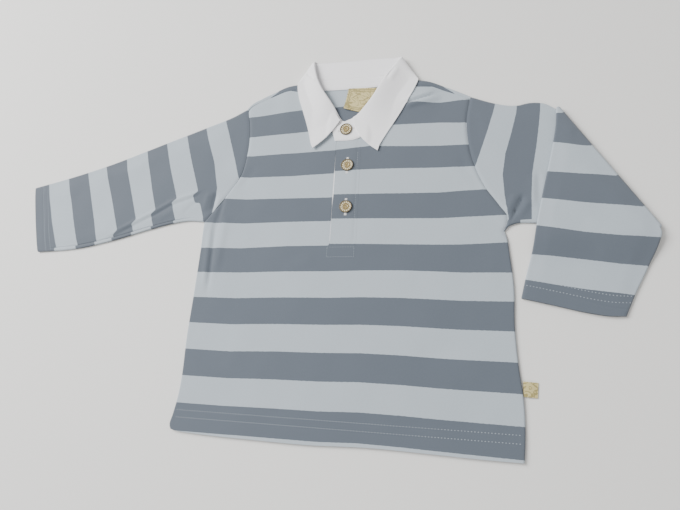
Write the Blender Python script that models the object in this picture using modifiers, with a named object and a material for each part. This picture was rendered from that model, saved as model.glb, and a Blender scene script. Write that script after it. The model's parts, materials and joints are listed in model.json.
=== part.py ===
# A baby's long-sleeved polo shirt in striped cotton jersey, laid flat on its back.
#
# Lengths are in millimetres until a mesh is made. X runs across the shirt, Y from the hem
# to the collar and Z up from the surface that the shirt lies on. The wearer's right sleeve
# is at -X and lies straight. The left one, at +X, is folded over at the elbow.

import math

import bmesh
import bpy
import numpy as np

MM = 0.001

# Driving dimensions
BODY_MID = 168.0        # from the hem line up to the origin
CLOTH = 1.1             # wall of the striped jersey
WHITE_CLOTH = 1.2       # wall of the collar, of two layers sewn together
TAPE = 1.0              # wall of the woven label and tag
SEAM_GAP = 0.45         # between two pieces sewn edge to edge
ARMHOLE_GAP = 0.8       # across the shirt, from the panels to a sleeve's middle line
LAYER_GAP = 0.5         # between the two layers of the flat body and sleeves
LAY_GAP = 0.35          # between a piece and the cloth that it lies on
NECK_LIFT = 1.6         # the collar's back half lies under the neck and raises it
BODY_PUFF = 0.8         # air under the front panel
PUFF_HALF_WIDTH = 104.0
SLEEVE_PUFF = 0.9
ROLL_RADIUS = 1.5       # of the collar's fold, at the middle of its wall
NECK_MIDDLE = 4.0       # the collar lies a little to the left sleeve's side
FOLD_HEIGHT = 3.4       # of the axis round which the left sleeve is folded
FOREARM_DROP = 4.1      # from on top of the upper arm down to the surface
SHOULDER_WRAP = (1.5, 5.0)   # how far the back comes over the fold, at the sleeve and neck
NOTCH = (-15.8, 11.4, 168.0)  # the placket's slot in the front: left, right, foot
NECK_SHARE = 0.42       # of each half of the front, from its side: where the neckline starts
BACK_INSET = 0.2        # the back's edge lies inside the front's rounded one
EDGE_ENDS = 4.0         # the rounded side edge ends this far below the armhole
PLACKET_ENDS = (-25.0, 22.0, 266.0)   # what lies on the placket's head: left, right, from y
BUTTON_RADIUS = 6.0
BUTTON_STEPS = 24

BACK_Z = CLOTH / 2
FRONT_Z = BACK_Z + CLOTH + LAYER_GAP
LAYER_STEP = FRONT_Z - BACK_Z
EDGE_RADIUS = LAYER_STEP / 2
PLACKET_Z = FRONT_Z + CLOTH + LAY_GAP

# Outlines, as (x, y) with y measured from the hem line
SIDE_LEFT = ((-148, -2), (-149, 12), (-147, 42), (-146, 86), (-145, 132), (-144.5, 168))
SIDE_RIGHT = ((148, -2), (149, 9), (149, 44), (146.5, 66), (144.5, 99), (145, 128), (141.5, 168))
UNDERARM_LEFT = ((-144.5, 168), (-144.5, 182), (-144.5, 195.5))
UNDERARM_RIGHT = ((141.5, 168), (140.2, 173.5), (138.5, 178.5))
ARMHOLE_LEFT = ((-144.5, 195.5), (-129, 215), (-120, 228), (-112, 241), (-107, 264),
                (-107, 292), (-112, 318))
ARMHOLE_RIGHT = ((138.5, 178.5), (135, 198), (123, 220), (115, 241), (110, 265),
                 (109, 286), (112.5, 309.5))
SHOULDER_LEFT = ((-112, 319), (-100, 327), (-84, 333), (-67, 337.5), (-53.6, 341.2))
SHOULDER_RIGHT = ((112.5, 310.5), (103, 316), (91, 322.5), (75, 330), (64, 332.5), (55, 334.7))

STRAIGHT_SLEEVE = {
    "overarm": ((-112.6, 318.4), (-125, 312), (-158, 300.5), (-204, 285.5), (-274, 263),
                (-321, 251), (-363, 242)),
    "underarm": ((-145.3, 196.8), (-163, 198), (-180, 196), (-206, 190), (-247, 179),
                 (-293, 170), (-340, 167)),
    "cuff": ((-363, 242), (-352, 203), (-340, 167)),
}
UPPER_ARM = {
    "overarm": ((113.1, 309.8), (134, 301), (144, 298), (154, 297), (163, 298.5), (176, 296.5),
                (185.1, 290)),
    "underarm": ((139.6, 180.2), (146, 185), (163, 185.5), (200, 182.5), (252.6, 176.3)),
    "fold": ((185.1, 290), (252.6, 176.3)),
}
FOREARM = {
    "overarm": ((185.1, 290), (184, 275), (179, 248), (170, 209), (164, 181), (160, 159),
                (154, 136), (150.5, 121)),
    "underarm": ((252.6, 176.3), (250.5, 167), (243, 147), (233, 126), (225, 108)),
    "cuff": ((150.5, 121), (177, 115), (199, 110), (215, 107.8), (225, 108)),
}
# Shares of the sleeve's width, from the overarm fold to the underarm seam, at which its
# upper layer has a point, and the one more beside each of its two round edges.
SLEEVE_SHARES = (0.008, 0.12, 0.26, 0.4, 0.54, 0.65, 0.73, 0.81, 0.88, 0.94, 0.992)
SLEEVE_EDGE = 0.0023
FOREARM_LANDS = (176.0, 146.0)   # it leaves the upper arm at the first y and lies at the second

# Soft creases: from (x0, y0) to (x1, y1), with the half width and the rise
FRONT_CREASES = (
    # x0, y0, x1, y1, width, rise
    (-132, 196, -127, 131, 4.5, 0.9),
)
SLEEVE_CREASES = (
    # x0, y0, x1, y1, width, rise
    (-150, 231, -262, 178, 4.0, 1.1),
)

# The collar, a section a row from its right front end round the neck to its left one.
# rise is the seam's level: 0 on the back, 1 on the front, 1.9 on the placket. turn is the
# side of the stand that the fall folds down on: 0 above it, 180 below it.
COLLAR_COLUMNS = ("seam_x", "seam_y", "rise", "roll_x", "roll_y", "roll_z",
                  "leaf_x", "leaf_y", "leaf_z", "turn", "bow")
COLLAR_ROWS = (
    (6, 273, 1, 6, 292, 2.2, -35, 265, 3.2, 0, 0),
    (-5, 273, 1, -3, 293.5, 2.2, -35, 265, 3.2, 0, 0),
    (-15, 275, 1, -10, 296.5, 2.3, -35, 265, 3.2, 0, 4.5),
    (-21, 279.5, 1, -14, 302.5, 3.0, -38.2, 271.5, 3.2, 0, 2),
    (-27, 287, 1, -18.5, 310.5, 4.6, -41.2, 281, 3.2, 0, 0),
    (-33, 297, 1, -23.5, 319, 6.4, -45, 294, 3.2, 0, 0),
    (-39, 308, 1, -28.5, 328, 7.4, -50, 309, 3.2, 0, 0),
    (-44.5, 319.5, 1, -33, 340, 7.6, -54.5, 322, 3.2, 0, 0),
    (-48.5, 329.5, 1, -37, 351.5, 7.0, -57.5, 334, 3.6, 0, 0),
    (-50.3, 335.8, 1, -39.3, 359.5, 6.0, -58, 340.6, 4.6, 25, 0),
    (-50.6, 338.6, 0.5, -40.6, 363.3, 4.8, -57.8, 342.9, 2.9, 90, 0),
    (-48.6, 337.4, 0, -38.8, 363, 3.9, -56.5, 341.6, 0.75, 155, 0),
    (-42, 334.5, 0, -32, 362.4, 3.6, -48, 331, 0.75, 180, 0),
    (-30, 331.5, 0, -20, 361.8, 3.6, -28, 323.5, 0.75, 180, 0),
    (0, 330, 0, 0, 361, 3.6, 0, 321.5, 0.75, 180, 0),
    (26, 330, 0, 24, 360.5, 3.6, 28, 322.5, 0.75, 180, 0),
    (42, 331.3, 0, 38, 359.6, 3.6, 48, 327, 0.75, 180, 0),
    (51.2, 332, 0, 46, 359.6, 3.8, 62.5, 335.2, 0.75, 155, 0),
    (53.2, 332.8, 0.5, 49, 359, 4.9, 64.6, 336.6, 2.9, 90, 0),
    (53, 329, 1, 47.3, 354.6, 6.1, 65, 333.8, 4.6, 25, 0),
    (50.5, 319.5, 1, 42, 347, 7.0, 64, 324, 3.6, 0, 0),
    (46, 309, 1, 35.5, 338.5, 7.6, 59.5, 312, 3.2, 0, 0),
    (40, 298.5, 1, 28, 326, 7.4, 53, 300, 3.2, 0, 0),
    (32.5, 289, 1, 21, 314.5, 6.4, 45, 289, 3.2, 0, 0),
    (23, 281, 1.2, 13.5, 305.5, 5.2, 38, 277, 3.2, 0, 0),
    (14, 276.2, 1.6, 7, 299.8, 4.4, 31.5, 266, 3.2, 0, -2.5),
    (7, 274.3, 1.9, 1.5, 296.3, 4.0, 28, 259.5, 3.2, 0, -6),
    (-4, 273.3, 1.9, -8, 292.8, 3.65, 28, 259.5, 3.2, 0, 0),
    (-14.2, 273.8, 1.9, -17.3, 285.3, 3.65, 28, 259.5, 3.2, 0, 0),
)
FALL_ROWS = (2, 26)                  # first and last section of the fall
NECKLINE_LEFT_ROWS = (2, 9)          # sections whose seam is on the front panel
NECKLINE_BACK_ROWS = (11, 17)
NECKLINE_RIGHT_ROWS = (19, 26)

PLACKET_OVER = (
    # y, left, right
    (156, -16.5, 10.5),
    (171, -16.0, 10.6),
    (197, -14, 12.2),
    (228, -13, 12.2),
    (253, -12.2, 12.2),
    (271.6, -13, 12.2),
)
PLACKET_UNDER = (
    # y, left, right
    (168.6, -15.3, 10.9),
    (271.6, -15.3, 10.9),
)
NECK_LABEL = ((-3, 329), (28, 327), (24.5, 301), (-7.5, 307))   # round its four corners
SIDE_TAG = ((149.5, 44.5), (159, 44), (160, 55.5), (149.4, 56))
BUTTONS = (
    # name, x, y, height of the cloth's middle under it
    ("button_1", -4, 284.5, PLACKET_Z + 0.06),
    ("button_2", 0, 247, PLACKET_Z),
    ("button_3", 1, 204, PLACKET_Z),
)
BUTTON_PROFILE = (
    # radius, height: from the middle of the dished top round the rim to the underside
    (0, 1.7), (0.7, 1.7), (0.79, 2.3), (0.92, 2.4), (1, 1.9), (1, 0.6), (0.9, 0), (0, 0),
)

COLOURS = {
    "striped_jersey": (0.36, 0.42, 0.48),
    "white_cotton": (0.80, 0.79, 0.82),
    "label_tape": (0.60, 0.53, 0.33),
    "button": (0.42, 0.29, 0.15),
}


def smooth(t):
    t = np.clip(t, 0, 1)
    return t * t * (3 - 2 * t)


def route(points, even=False):
    """A smooth line through points, as a function of the share of its length."""
    points = np.array(points, float)
    steps = np.ones(len(points) - 1) if even else np.linalg.norm(np.diff(points, axis=0), axis=1)
    knots = np.concatenate([[0], np.cumsum(steps)]) / steps.sum()
    slopes = np.gradient(points, knots, axis=0)

    def at(share):
        share = np.clip(share, 0, 1)
        i = np.clip(np.searchsorted(knots, share, side="right") - 1, 0, len(steps) - 1)
        span = knots[i + 1] - knots[i]
        w = ((share - knots[i]) / span)[:, None]
        span = span[:, None]
        return ((2 * w**3 - 3 * w**2 + 1) * points[i] + (w**3 - 2 * w**2 + w) * span * slopes[i]
                + (3 * w**2 - 2 * w**3) * points[i + 1] + (w**3 - w**2) * span * slopes[i + 1])

    return at


def spaced(points, count):
    return route(points)(np.linspace(0, 1, count))


def joined(*lines):
    """Lines end to end, each of which starts where the one before it ends."""
    return np.concatenate([lines[0]] + [line[1:] for line in lines[1:]])


def fill(left, right, bottom, top, across=None):
    """The net between four edges, as rows from bottom to top."""
    u = np.linspace(0, 1, len(bottom)) if across is None else np.array(across)
    u = u[None, :, None]
    w = np.linspace(0, 1, len(left))[:, None, None]
    sides = (1 - u) * left[:, None] + u * right[:, None]
    ends = (1 - w) * bottom[None] + w * top[None]
    corners = ((1 - u) * (1 - w) * bottom[0] + u * (1 - w) * bottom[-1]
               + (1 - u) * w * top[0] + u * w * top[-1])
    return sides + ends - corners


def creases(x, y, rows):
    rise = np.zeros_like(x)
    for x0, y0, x1, y1, width, height in rows:
        length = math.hypot(x1 - x0, y1 - y0)
        along = ((x - x0) * (x1 - x0) + (y - y0) * (y1 - y0)) / length**2
        aside = ((x - x0) * (y1 - y0) - (y - y0) * (x1 - x0)) / length
        ends = smooth(along / 0.2) * smooth((1 - along) / 0.2)
        rise = rise + height * ends * np.exp(-((aside / width) ** 2))
    return rise


def neck_lift(x, y):
    return NECK_LIFT * smooth((y - 284) / 34) * smooth((88 - np.abs(x - 1)) / 22)


def front_lift(x, y):
    middle = np.clip(1 - (x / PUFF_HALF_WIDTH) ** 2, 0, 1)
    puff = BODY_PUFF * middle * smooth((y + 2) / 30) * smooth((300 - y) / 40)
    return neck_lift(x, y) + puff + creases(x, y, FRONT_CREASES)


def placket_rise(x, y):
    """How much higher than the front panel the placket's and the stand's front ends lie."""
    left, right, low = PLACKET_ENDS
    across = smooth((x - left) / 6) * smooth((right - x) / 6)
    return (PLACKET_Z - FRONT_Z) * across * smooth((y - low) / 5)


def with_height(plan, height):
    x, y = plan[..., 0], plan[..., 1]
    return np.stack([x, y, np.broadcast_to(height, x.shape)], axis=-1)


def material(name):
    found = bpy.data.materials.get(name)
    if found:
        return found
    made = bpy.data.materials.new(name)
    made.use_nodes = True
    shader = made.node_tree.nodes["Principled BSDF"]
    shader.inputs["Base Color"].default_value = (*COLOURS[name], 1)
    shader.inputs["Roughness"].default_value = 0.45 if name == "button" else 0.9
    shader.inputs["Metallic"].default_value = 0
    return made


def add_object(name, mesh, slot, shirt):
    mesh.materials.append(material(slot))
    mesh.shade_smooth()
    made = bpy.data.objects.new(name, mesh)
    shirt.objects.link(made)
    return made


def cloth(name, nets, wall, slot, shirt, ring=False):
    """A wall of cloth on one or more nets of points that share their edges."""
    work = bmesh.new()
    for net in nets:
        points = (net - np.array([0, BODY_MID, 0])) * MM
        rows, columns = points.shape[:2]
        corners = [[work.verts.new(points[i, j]) for j in range(columns)] for i in range(rows)]
        for i in range(rows - 1):
            for j in range(columns if ring else columns - 1):
                k = (j + 1) % columns
                work.faces.new((corners[i][j], corners[i][k], corners[i + 1][k], corners[i + 1][j]))
    bmesh.ops.remove_doubles(work, verts=work.verts, dist=0.00001)
    bmesh.ops.recalc_face_normals(work, faces=work.faces)
    mesh = bpy.data.meshes.new(name)
    work.to_mesh(mesh)
    work.free()
    made = add_object(name, mesh, slot, shirt)
    solidify = made.modifiers.new("wall", "SOLIDIFY")
    solidify.thickness = wall * MM
    solidify.offset = 0
    return made


def inset(line, amounts):
    """Side points moved towards the shirt's middle line."""
    moved = line.copy()
    moved[:, 0] -= np.sign(line[:, 0]) * amounts
    return moved


def collar_sections():
    """The collar's table, with two sections for each row, as a dictionary of columns."""
    rows = np.array(COLLAR_ROWS, float)
    table = route(rows, even=True)(np.linspace(0, 1, 2 * len(rows) - 1))
    found = {name: table[:, i] for i, name in enumerate(COLLAR_COLUMNS)}
    found["seam_z"] = (BACK_Z + LAYER_STEP * found["rise"]
                       + neck_lift(found["seam_x"], found["seam_y"]))
    return found


def neckline(first, last, outward):
    """The panels' edge round the neck: the collar's seam, moved out from the neck."""
    seam = np.array([row[:2] for row in COLLAR_ROWS[first:last + 1]], float)
    along = np.gradient(seam, axis=0)
    along /= np.linalg.norm(along, axis=1)[:, None]
    return seam + outward * 2 * SEAM_GAP * np.stack([along[:, 1], -along[:, 0]], axis=1)


def shoulder(points, count):
    """The shoulder's fold line, and how far the back comes over it, from sleeve to neck."""
    return spaced(points, count), np.linspace(*SHOULDER_WRAP, count)


def lowered(line, amount):
    moved = line.copy()
    moved[:, 1] -= amount
    return moved


def make_front(shirt):
    left_notch, right_notch, foot = NOTCH
    lip = CLOTH / 2
    side_rows = 9
    arm_rows = 9
    edge = [0, 0.25 * EDGE_RADIUS, EDGE_RADIUS]

    def half(side, underarm, armhole, shoulder_line, neck, notch_x, distances):
        """The panel from one side to the placket, below and above the placket's foot."""
        lower_side = inset(spaced(side, side_rows), lip)
        hem_y = side[0][1]
        width = abs(lower_side[-1][0] - notch_x)
        across = np.array(edge + distances + [width]) / width
        notch_low = np.stack([np.full(side_rows, notch_x), lower_side[:, 1]], axis=1)
        level = lower_side[-1] + (notch_low[-1] - lower_side[-1]) * across[:, None]
        hem = lower_side[0] + (np.array([notch_x, hem_y]) - lower_side[0]) * across[:, None]
        lower = fill(lower_side, notch_low, hem, level, across)

        fade = lip * np.linspace(1, 0, 3)
        upper_side = joined(inset(spaced(underarm, 3), fade), spaced(armhole, arm_rows))
        line, wrap = shoulder(shoulder_line, 7)
        seam = lowered(line, lip + EDGE_RADIUS + SEAM_GAP + wrap)
        upper_side[-1] = seam[0]
        seam_share = across[across <= NECK_SHARE] / NECK_SHARE
        neck_share = (across[across > NECK_SHARE] - NECK_SHARE) / (1 - NECK_SHARE)
        corner = np.array([neck[0][0], seam[-1][1]])
        seam[-1] = corner
        neck[-1] = (notch_x, np.interp(abs(notch_x), abs(neck[::-1, 0]), neck[::-1, 1]))
        top = np.concatenate([route(seam)(seam_share),
                              route(np.concatenate([[corner], neck[1:]]))(neck_share)])
        notch_high = np.stack([np.full(len(upper_side), notch_x),
                               np.linspace(foot, neck[-1][1], len(upper_side))], axis=1)
        upper = fill(upper_side, notch_high, level, top, across)
        return lower, upper

    left_neck = neckline(*NECKLINE_LEFT_ROWS, -1)[::-1]
    right_neck = neckline(*NECKLINE_RIGHT_ROWS, -1)
    left_distances = [6, 11, 16, 22, 34, 48, 58, 72, 86, 100, 115]
    right_distances = [10, 24, 40, 54, 66, 78, 90, 104, 117]
    left = half(SIDE_LEFT, UNDERARM_LEFT, ARMHOLE_LEFT, SHOULDER_LEFT, left_neck, left_notch,
                left_distances)
    right = half(SIDE_RIGHT, UNDERARM_RIGHT, ARMHOLE_RIGHT, SHOULDER_RIGHT, right_neck, right_notch,
                 right_distances)
    middle = np.stack([left[0][:, -1], right[0][:, -1]], axis=1)
    nets = []
    for plan in (*left, *right, middle):
        net = with_height(plan, FRONT_Z + front_lift(plan[..., 0], plan[..., 1]))
        if plan is not middle:
            armhole = ARMHOLE_LEFT if plan[0, 0, 0] < 0 else ARMHOLE_RIGHT
            below = plan[:, 0, 1] < armhole[0][1] - EDGE_ENDS
            for column, drop in enumerate((EDGE_RADIUS * 0.95, EDGE_RADIUS * 0.34)):
                net[below, column, 2] -= drop
        nets.append(net if plan[0, 0, 0] < plan[0, -1, 0] else net[:, ::-1])
    cloth("front", nets, CLOTH, "striped_jersey", shirt)


def make_back(shirt):
    columns = 9
    under_fold = CLOTH / 2 + EDGE_RADIUS

    def side(low, underarm, armhole):
        lower = inset(spaced(low, 9), BACK_INSET)
        upper = inset(spaced(underarm, 3), BACK_INSET * np.linspace(1, 0, 3))
        return joined(lower, upper, spaced(armhole, 11))

    left = side(SIDE_LEFT, UNDERARM_LEFT, ARMHOLE_LEFT)
    right = side(SIDE_RIGHT, UNDERARM_RIGHT, ARMHOLE_RIGHT)
    fold_left, wrap_left = shoulder(SHOULDER_LEFT, columns)
    fold_right, wrap_right = shoulder(SHOULDER_RIGHT, columns)
    base_left = lowered(fold_left, under_fold)
    base_right = lowered(fold_right, under_fold)
    left[-1] = base_left[0]
    right[-1] = base_right[0]
    first, last = NECKLINE_BACK_ROWS
    neck = neckline(first, last, 1)
    neck = np.concatenate([[base_left[-1]], neck, [base_right[-1]]])
    neck = np.concatenate([neck[:1], route(neck[1:-1])(np.linspace(0, 1, 9)), neck[-1:]])
    top = joined(base_left, neck, base_right[::-1])
    hem = np.linspace(left[0], right[0], len(top))
    plan = fill(left, right, hem, top)
    nets = [with_height(plan, BACK_Z + neck_lift(plan[..., 0], plan[..., 1]))]

    for fold, wrap in ((fold_left, wrap_left), (fold_right, wrap_right)):
        rows = []
        for angle in (-90, -45, 0, 45, 90):
            turn = math.radians(angle)
            row = lowered(fold, under_fold - EDGE_RADIUS * math.cos(turn))
            height = BACK_Z + EDGE_RADIUS * (1 + math.sin(turn))
            rows.append(with_height(row, height + neck_lift(fold[:, 0], fold[:, 1])))
        end = lowered(fold, under_fold + wrap)
        rows.append(with_height(end, FRONT_Z + neck_lift(end[:, 0], end[:, 1])))
        rows[0] = with_height(lowered(fold, under_fold),
                              BACK_Z + neck_lift(fold[:, 0], fold[:, 1] - under_fold))
        net = np.array(rows)
        nets.append(net if fold[0][0] < 0 else net[:, ::-1])
    cloth("back", nets, CLOTH, "striped_jersey", shirt)


def sleeve_shares():
    return np.array([0, SLEEVE_EDGE, *SLEEVE_SHARES, 1 - SLEEVE_EDGE, 1])


def sleeve_ring(plan, top_z, bottom_z):
    """Rows of plan points made into rings: the upper layer, then the lower one back."""
    shares = sleeve_shares()
    middle = (top_z + bottom_z) / 2
    half = (top_z - bottom_z) / 2
    bulge = np.ones(len(shares))
    bulge[[0, -1]] = 0
    bulge[[1, -2]] = math.sin(math.pi / 4)
    upper = with_height(plan, middle + half * bulge)
    lower = with_height(plan, middle - half * bulge)
    return np.concatenate([upper, lower[:, -2:0:-1]], axis=1)


def sleeve_window():
    shares = sleeve_shares()
    return smooth(np.minimum(shares, 1 - shares) / 0.16)


def make_straight_sleeve(shirt):
    shares = sleeve_shares()
    rows = 15
    armhole = route(ARMHOLE_LEFT[::-1])(shares)
    armhole[:, 0] -= ARMHOLE_GAP
    overarm = spaced(STRAIGHT_SLEEVE["overarm"], rows)
    underarm = spaced(STRAIGHT_SLEEVE["underarm"], rows)
    cuff = route(STRAIGHT_SLEEVE["cuff"])(shares)
    armhole[0], armhole[-1] = overarm[0], underarm[0]
    plan = fill(overarm, underarm, armhole, cuff, shares)
    along = np.linspace(0, 1, rows)[:, None]
    puff = SLEEVE_PUFF * smooth(along / 0.2) * (0.4 + 0.6 * smooth((1 - along) / 0.3))
    rise = puff + creases(plan[..., 0], plan[..., 1], SLEEVE_CREASES)
    top_z = FRONT_Z + rise * sleeve_window()
    net = sleeve_ring(plan, top_z, np.full_like(top_z, BACK_Z))
    cloth("sleeve_right", [net], CLOTH, "striped_jersey", shirt, ring=True)


def make_folded_sleeve(shirt):
    shares = sleeve_shares()
    window = sleeve_window()

    # Upper arm, from the armhole to the fold
    rows = 8
    armhole = route(ARMHOLE_RIGHT[::-1])(shares)
    armhole[:, 0] += ARMHOLE_GAP
    overarm = spaced(UPPER_ARM["overarm"], rows)
    underarm = spaced(UPPER_ARM["underarm"], rows)
    fold = np.array(UPPER_ARM["fold"], float)
    fold_line = fold[0] + (fold[1] - fold[0]) * shares[:, None]
    armhole[0], armhole[-1] = overarm[0], underarm[0]
    plan = fill(overarm, underarm, armhole, fold_line, shares)
    along = np.linspace(0, 1, rows)[:, None]
    top_z = FRONT_Z + 0.6 * SLEEVE_PUFF * smooth(along / 0.3) * smooth((1 - along) / 0.3) * window
    upper = sleeve_ring(plan, top_z, np.full_like(top_z, BACK_Z))

    # The fold, half a turn about an axis that lies above the upper arm
    flat = sleeve_ring(fold_line[None], np.full((1, len(shares)), FRONT_Z),
                       np.full((1, len(shares)), BACK_Z))[0]
    direction = (fold[1] - fold[0]) / np.linalg.norm(fold[1] - fold[0])
    outward = np.array([-direction[1], direction[0]])
    radius = FOLD_HEIGHT - flat[:, 2]
    bend = []
    for turn in np.linspace(0, math.pi, 7)[1:-1]:
        moved = flat[:, :2] + outward * (radius * math.sin(turn))[:, None]
        bend.append(with_height(moved, FOLD_HEIGHT - radius * math.cos(turn)))

    # Forearm, upside down on the upper arm and then on the surface
    rows = 11
    overarm = spaced(FOREARM["overarm"], rows)
    underarm = spaced(FOREARM["underarm"], rows)
    cuff = route(FOREARM["cuff"])(shares)
    plan = fill(overarm, underarm, fold_line, cuff, shares)
    along = np.linspace(0, 1, rows)[:, None]
    leaves, lands = FOREARM_LANDS
    drop = FOREARM_DROP * smooth((leaves - plan[..., 1]) / (leaves - lands))
    rise = SLEEVE_PUFF * smooth(along / 0.2) * (0.4 + 0.6 * smooth((1 - along) / 0.3)) * window
    hidden_z = 2 * FOLD_HEIGHT - FRONT_Z - drop
    shown_z = 2 * FOLD_HEIGHT - BACK_Z - drop + rise
    lower = sleeve_ring(plan, hidden_z, shown_z)

    net = np.concatenate([upper, np.array(bend), lower])
    cloth("sleeve_left", [net], CLOTH, "striped_jersey", shirt, ring=True)


def make_stand(shirt):
    at = collar_sections()
    seam = np.stack([at["seam_x"], at["seam_y"], at["seam_z"]], axis=1)
    roll = np.stack([at["roll_x"], at["roll_y"], at["roll_z"]], axis=1)
    share = np.linspace(0, 1, 4)[None, :, None]
    net = seam[:, None] + (roll - seam)[:, None] * share
    cloth("collar_stand", [net], WHITE_CLOTH, "white_cotton", shirt)


def make_fall(shirt):
    at = {name: values[2 * FALL_ROWS[0]:2 * FALL_ROWS[1] + 1]
          for name, values in collar_sections().items()}
    seam = np.stack([at["seam_x"], at["seam_y"], at["seam_z"]], axis=1)
    roll = np.stack([at["roll_x"], at["roll_y"], at["roll_z"]], axis=1)
    leaf = np.stack([at["leaf_x"], at["leaf_y"], at["leaf_z"]], axis=1)
    turn = np.radians(at["turn"])[:, None]
    up = (roll - seam) / np.linalg.norm(roll - seam, axis=1)[:, None]

    # The stand's outer side: above it in front, beside it at the neck's ends, then below it
    aside = np.stack([-up[:, 1], up[:, 0], np.zeros(len(up))], axis=1)
    aside *= np.sign(aside[:, :1] * (roll[:, :1] - NECK_MIDDLE))
    outside = np.cos(turn) * np.array([0, 0, 1]) + np.sin(turn) * aside
    outside -= np.sum(outside * up, axis=1)[:, None] * up
    outside /= np.linalg.norm(outside, axis=1)[:, None]

    columns = []
    centre = roll + outside * ROLL_RADIUS
    for angle in (-30, 0, 30, 60, 90):
        tilt = math.radians(angle)
        columns.append(centre + ROLL_RADIUS * (math.cos(tilt) * up + math.sin(tilt) * outside))
    crest = columns[-1]
    drop = leaf - crest
    sideways = np.stack([-drop[:, 1], drop[:, 0]], axis=1)
    sideways /= np.linalg.norm(sideways, axis=1)[:, None]
    on_top = smooth((70 - at["turn"]) / 40)
    for share in np.linspace(0, 1, 7)[1:]:
        point = crest + drop * share
        point[:, :2] += sideways * (at["bow"] * math.sin(math.pi * share))[:, None]
        point[:, 2] = crest[:, 2] + drop[:, 2] * smooth(share)
        x, y = point[:, 0], point[:, 1]
        rest = (FRONT_Z + CLOTH / 2 + LAY_GAP + WHITE_CLOTH / 2
                + front_lift(x, y) + placket_rise(x, y))
        point[:, 2] += np.maximum(rest - point[:, 2], 0) * on_top
        columns.append(point)
    cloth("collar_fall", [np.stack(columns, axis=1)], WHITE_CLOTH, "white_cotton", shirt)


def make_strip(name, rows, height, count, slot, shirt):
    """An upright strip of cloth that follows the front panel, with straight rows."""
    table = np.array(rows, float)
    y = np.linspace(table[0, 0], table[-1, 0], count)
    left = np.interp(y, table[:, 0], table[:, 1])
    right = np.interp(y, table[:, 0], table[:, 2])
    share = np.linspace(0, 1, 4)
    x = left[:, None] + (right - left)[:, None] * share
    plan = np.stack([x, np.broadcast_to(y[:, None], x.shape)], axis=-1)
    net = with_height(plan, height + front_lift(plan[..., 0], plan[..., 1]))
    cloth(name, [net], CLOTH, slot, shirt)


def make_patch(name, corners, height, lift, shirt):
    """A small four-cornered piece of tape that follows the cloth under it."""
    a, b, c, d = np.array(corners, float)
    plan = fill(np.linspace(a, d, 6), np.linspace(b, c, 6), np.linspace(a, b, 6),
                np.linspace(d, c, 6))
    net = with_height(plan, height + lift(plan[..., 0], plan[..., 1]))
    cloth(name, [net], TAPE, "label_tape", shirt)


def make_button(name, x, y, cloth_z, shirt):
    """A turned button, with a rim round a dished middle."""
    work = bmesh.new()
    points = [work.verts.new((radius * BUTTON_RADIUS * MM, 0, height * MM))
              for radius, height in BUTTON_PROFILE]
    for first, second in zip(points, points[1:]):
        work.edges.new((first, second))
    mesh = bpy.data.meshes.new(name)
    work.to_mesh(mesh)
    work.free()
    made = add_object(name, mesh, "button", shirt)
    screw = made.modifiers.new("turn", "SCREW")
    screw.steps = screw.render_steps = BUTTON_STEPS
    screw.use_merge_vertices = True
    screw.merge_threshold = 0.00001
    lift = float(front_lift(np.array(x), np.array(y)))
    made.location = (x * MM, (y - BODY_MID) * MM, (cloth_z + lift + CLOTH / 2 + LAY_GAP) * MM)


def main():
    for old in list(bpy.data.objects):
        bpy.data.objects.remove(old, do_unlink=True)
    shirt = bpy.data.collections.new("polo_shirt")
    bpy.context.scene.collection.children.link(shirt)

    make_back(shirt)
    make_front(shirt)
    make_straight_sleeve(shirt)
    make_folded_sleeve(shirt)
    make_stand(shirt)
    make_fall(shirt)
    make_strip("placket_under", PLACKET_UNDER, FRONT_Z, 9, "white_cotton", shirt)
    make_strip("placket_over", PLACKET_OVER, PLACKET_Z, 11, "striped_jersey", shirt)
    on_back = CLOTH + LAY_GAP + TAPE / 2
    make_patch("neck_label", NECK_LABEL, on_back, neck_lift, shirt)
    make_patch("side_tag", SIDE_TAG, TAPE / 2, lambda x, y: 0.8 * smooth((156 - x) / 6), shirt)
    for name, x, y, cloth_z in BUTTONS:
        make_button(name, x, y, cloth_z, shirt)


main()
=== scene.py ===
import functools
import json
import math

import bmesh
import bpy
import numpy as np
from mathutils import Matrix, Vector

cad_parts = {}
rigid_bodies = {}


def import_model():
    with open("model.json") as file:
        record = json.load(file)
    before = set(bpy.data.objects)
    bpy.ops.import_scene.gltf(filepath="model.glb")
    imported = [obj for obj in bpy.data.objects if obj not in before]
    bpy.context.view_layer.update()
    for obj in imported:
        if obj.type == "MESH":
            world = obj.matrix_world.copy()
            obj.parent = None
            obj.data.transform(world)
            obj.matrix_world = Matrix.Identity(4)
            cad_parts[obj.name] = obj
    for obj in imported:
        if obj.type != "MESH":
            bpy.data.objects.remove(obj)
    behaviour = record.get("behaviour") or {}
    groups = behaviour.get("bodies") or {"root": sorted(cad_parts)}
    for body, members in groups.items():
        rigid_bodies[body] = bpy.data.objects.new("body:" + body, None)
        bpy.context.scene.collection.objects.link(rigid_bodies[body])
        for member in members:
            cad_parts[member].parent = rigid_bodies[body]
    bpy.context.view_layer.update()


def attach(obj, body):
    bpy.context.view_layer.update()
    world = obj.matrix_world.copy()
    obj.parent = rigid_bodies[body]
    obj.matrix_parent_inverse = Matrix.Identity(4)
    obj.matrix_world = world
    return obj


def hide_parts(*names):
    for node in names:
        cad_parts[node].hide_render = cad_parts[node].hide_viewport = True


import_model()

# A baby's long-sleeved polo shirt in striped cotton jersey, laid flat with one sleeve folded over.
# Lengths are in millimetres until a mesh is made: x across the shirt, y up from its hem, z off the floor.

bpy.ops.object.select_all(action="DESELECT")

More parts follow.
